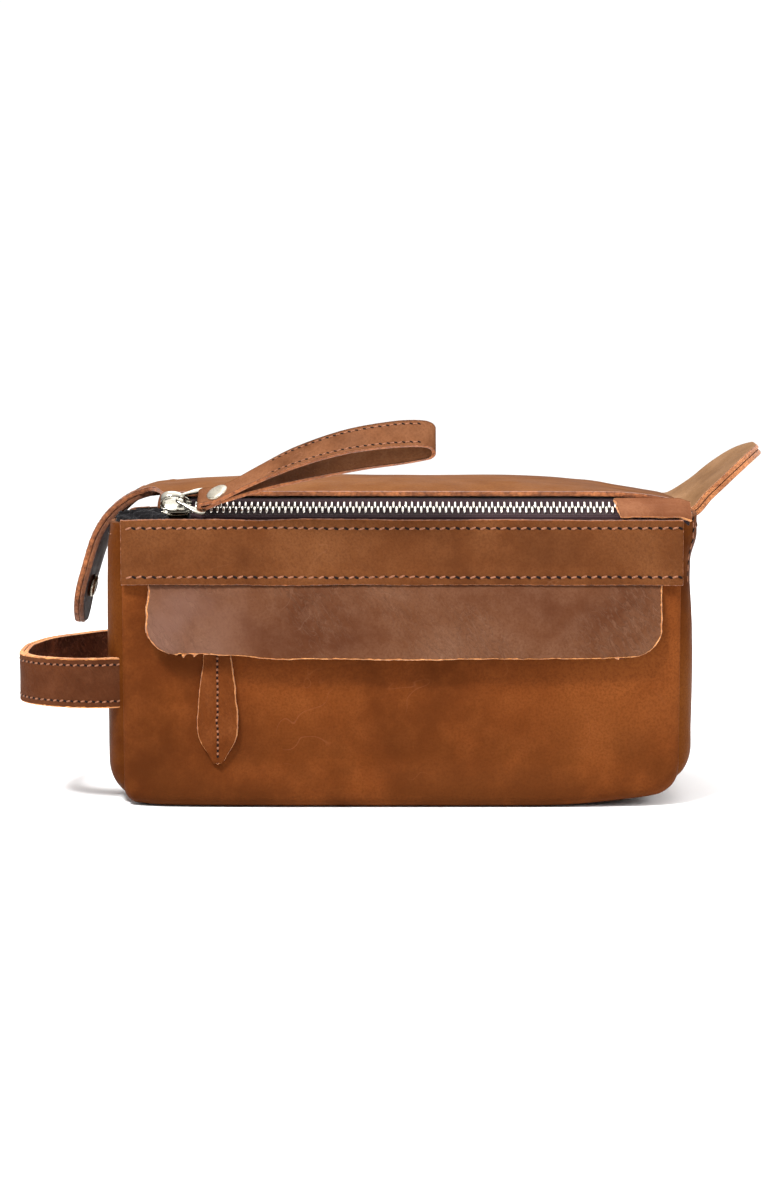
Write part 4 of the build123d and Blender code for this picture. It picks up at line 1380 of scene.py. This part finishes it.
LEAF_FRONT = leaf_place_at(-60.3, 1.0, 0.6)
put(
    sheet("leaf_leather", LEAF_FRONT, even(80), spread(26, 0.3), 1.5, [LEAF, INNER, EDGE], FRONT, 0.35, 0.3, 0.75),
    "leaf_puller", ["pocket_leaf"], "trim_leather",
)
put(
    sheet(
        "leaf_leather_back", leaf_place_at(-58.9, 0.99, 0.0), np.linspace(0.005, 0.995, 60), spread(20, 0.3), 1.3,
        [LEAF, LEAF, EDGE], FRONT, 0.3, 0.2,
    ),
    "leaf_puller", (), "trim_leather",
)
s = np.linspace(0.1, 0.945, 160)
put(stitches("leaf_stitches", LEAF_FRONT, s, 0.5, FRONT, 2.5, 1.2, 0.55, 0.06, 0.1), "leaf_puller")
middle = np.array([PX, BRIDGE_Y, PZ])
angles = np.linspace(0.2, 2 * math.pi + 0.2, 30, endpoint=False)
eye = middle + 1.45 * np.stack([0 * angles, np.cos(angles), np.sin(angles)], 1)
put(tube("leaf_eye", eye, 2.5, 0.38, unit(eye - middle), TRIM, True, 12, 0.6), "leaf_puller", (), "trim_leather")
neck = [(PX, a, b) for a, b in curve([(-58.6, 86.6), (-58.9, 84.0), (-59.6, 81.5)], 10)]
put(tube("leaf_neck", neck, 2.7, 0.5, FRONT, TRIM, power=0.6), "leaf_puller", (), "trim_leather")

# ---------------------------------------------------------------- floor, light, camera
floor_mat = Shader("floor").done((0.93, 0.93, 0.93), 0.9, specular=0.1)
bpy.ops.mesh.primitive_plane_add(size=14, location=(0, 2.0, -0.0004))
floor = bpy.context.object
floor.name = "floor"
floor.data.materials.append(floor_mat)

world = bpy.data.worlds.new("studio") if not bpy.data.worlds else bpy.data.worlds[0]
bpy.context.scene.world = world
world.use_nodes = True
nodes, links = world.node_tree.nodes, world.node_tree.links
# the sky lights the bag more from above; the camera sees it plain
direction, split, sky, ray, choice = (
    nodes.new("ShaderNode" + kind) for kind in ("TexCoord", "SeparateXYZ", "MapRange", "LightPath", "Mix")
)
for key, value in (("From Min", 0.0), ("From Max", 0.9), ("To Min", 0.16), ("To Max", 1.50)):
    sky.inputs[key].default_value = value
choice.inputs[3].default_value = 1.05
background = nodes["Background"]
background.inputs["Color"].default_value = (1.0, 1.0, 1.0, 1)
for source, socket in (
    (direction.outputs["Generated"], split.inputs[0]),
    (split.outputs["Z"], sky.inputs["Value"]),
    (ray.outputs["Is Camera Ray"], choice.inputs[0]),
    (sky.outputs["Result"], choice.inputs[2]),
    (choice.outputs[0], background.inputs["Strength"]),
):
    links.new(source, socket)
bpy.context.scene.view_settings.view_transform = "Standard"


def area(name, place, target, size, power):
    """A white rectangular light at place that shines at target."""
    data = bpy.data.lights.new(name, "AREA")
    data.shape = "RECTANGLE"
    data.size, data.size_y = size
    data.energy = power
    obj = bpy.data.objects.new(name, data)
    bpy.context.scene.collection.objects.link(obj)
    obj.location = place
    obj.rotation_euler = (Vector(target) - Vector(place)).to_track_quat("-Z", "Y").to_euler()


area("key", (-0.66, -0.92, 1.62), (0, 0, 0.08), (0.40, 0.30), 50)
area("fill", (1.3, -0.55, 0.75), (0.1, 0, 0.08), (0.8, 0.8), 11)
area("top", (0.1, 0.6, 1.6), (0, 0, 0.1), (1.6, 1.0), 9)

TARGET = Vector((-0.006, FRONT_Y * MM, 0.0966))
ELEVATION = math.radians(6.0)
DISTANCE = 1.05
SENSOR = 36.0
VIEW_HEIGHT = 0.548  # how much the frame takes in at the bag, m
camera_data = bpy.data.cameras.new("camera")
camera = bpy.data.objects.new("camera", camera_data)
bpy.context.scene.collection.objects.link(camera)
camera.location = TARGET + Vector((0, -math.cos(ELEVATION), math.sin(ELEVATION))) * DISTANCE
camera.rotation_euler = (TARGET - camera.location).to_track_quat("-Z", "Y").to_euler()
camera_data.sensor_fit = "AUTO"
camera_data.sensor_width = SENSOR
camera_data.lens = SENSOR * DISTANCE / VIEW_HEIGHT
bpy.context.scene.camera = camera
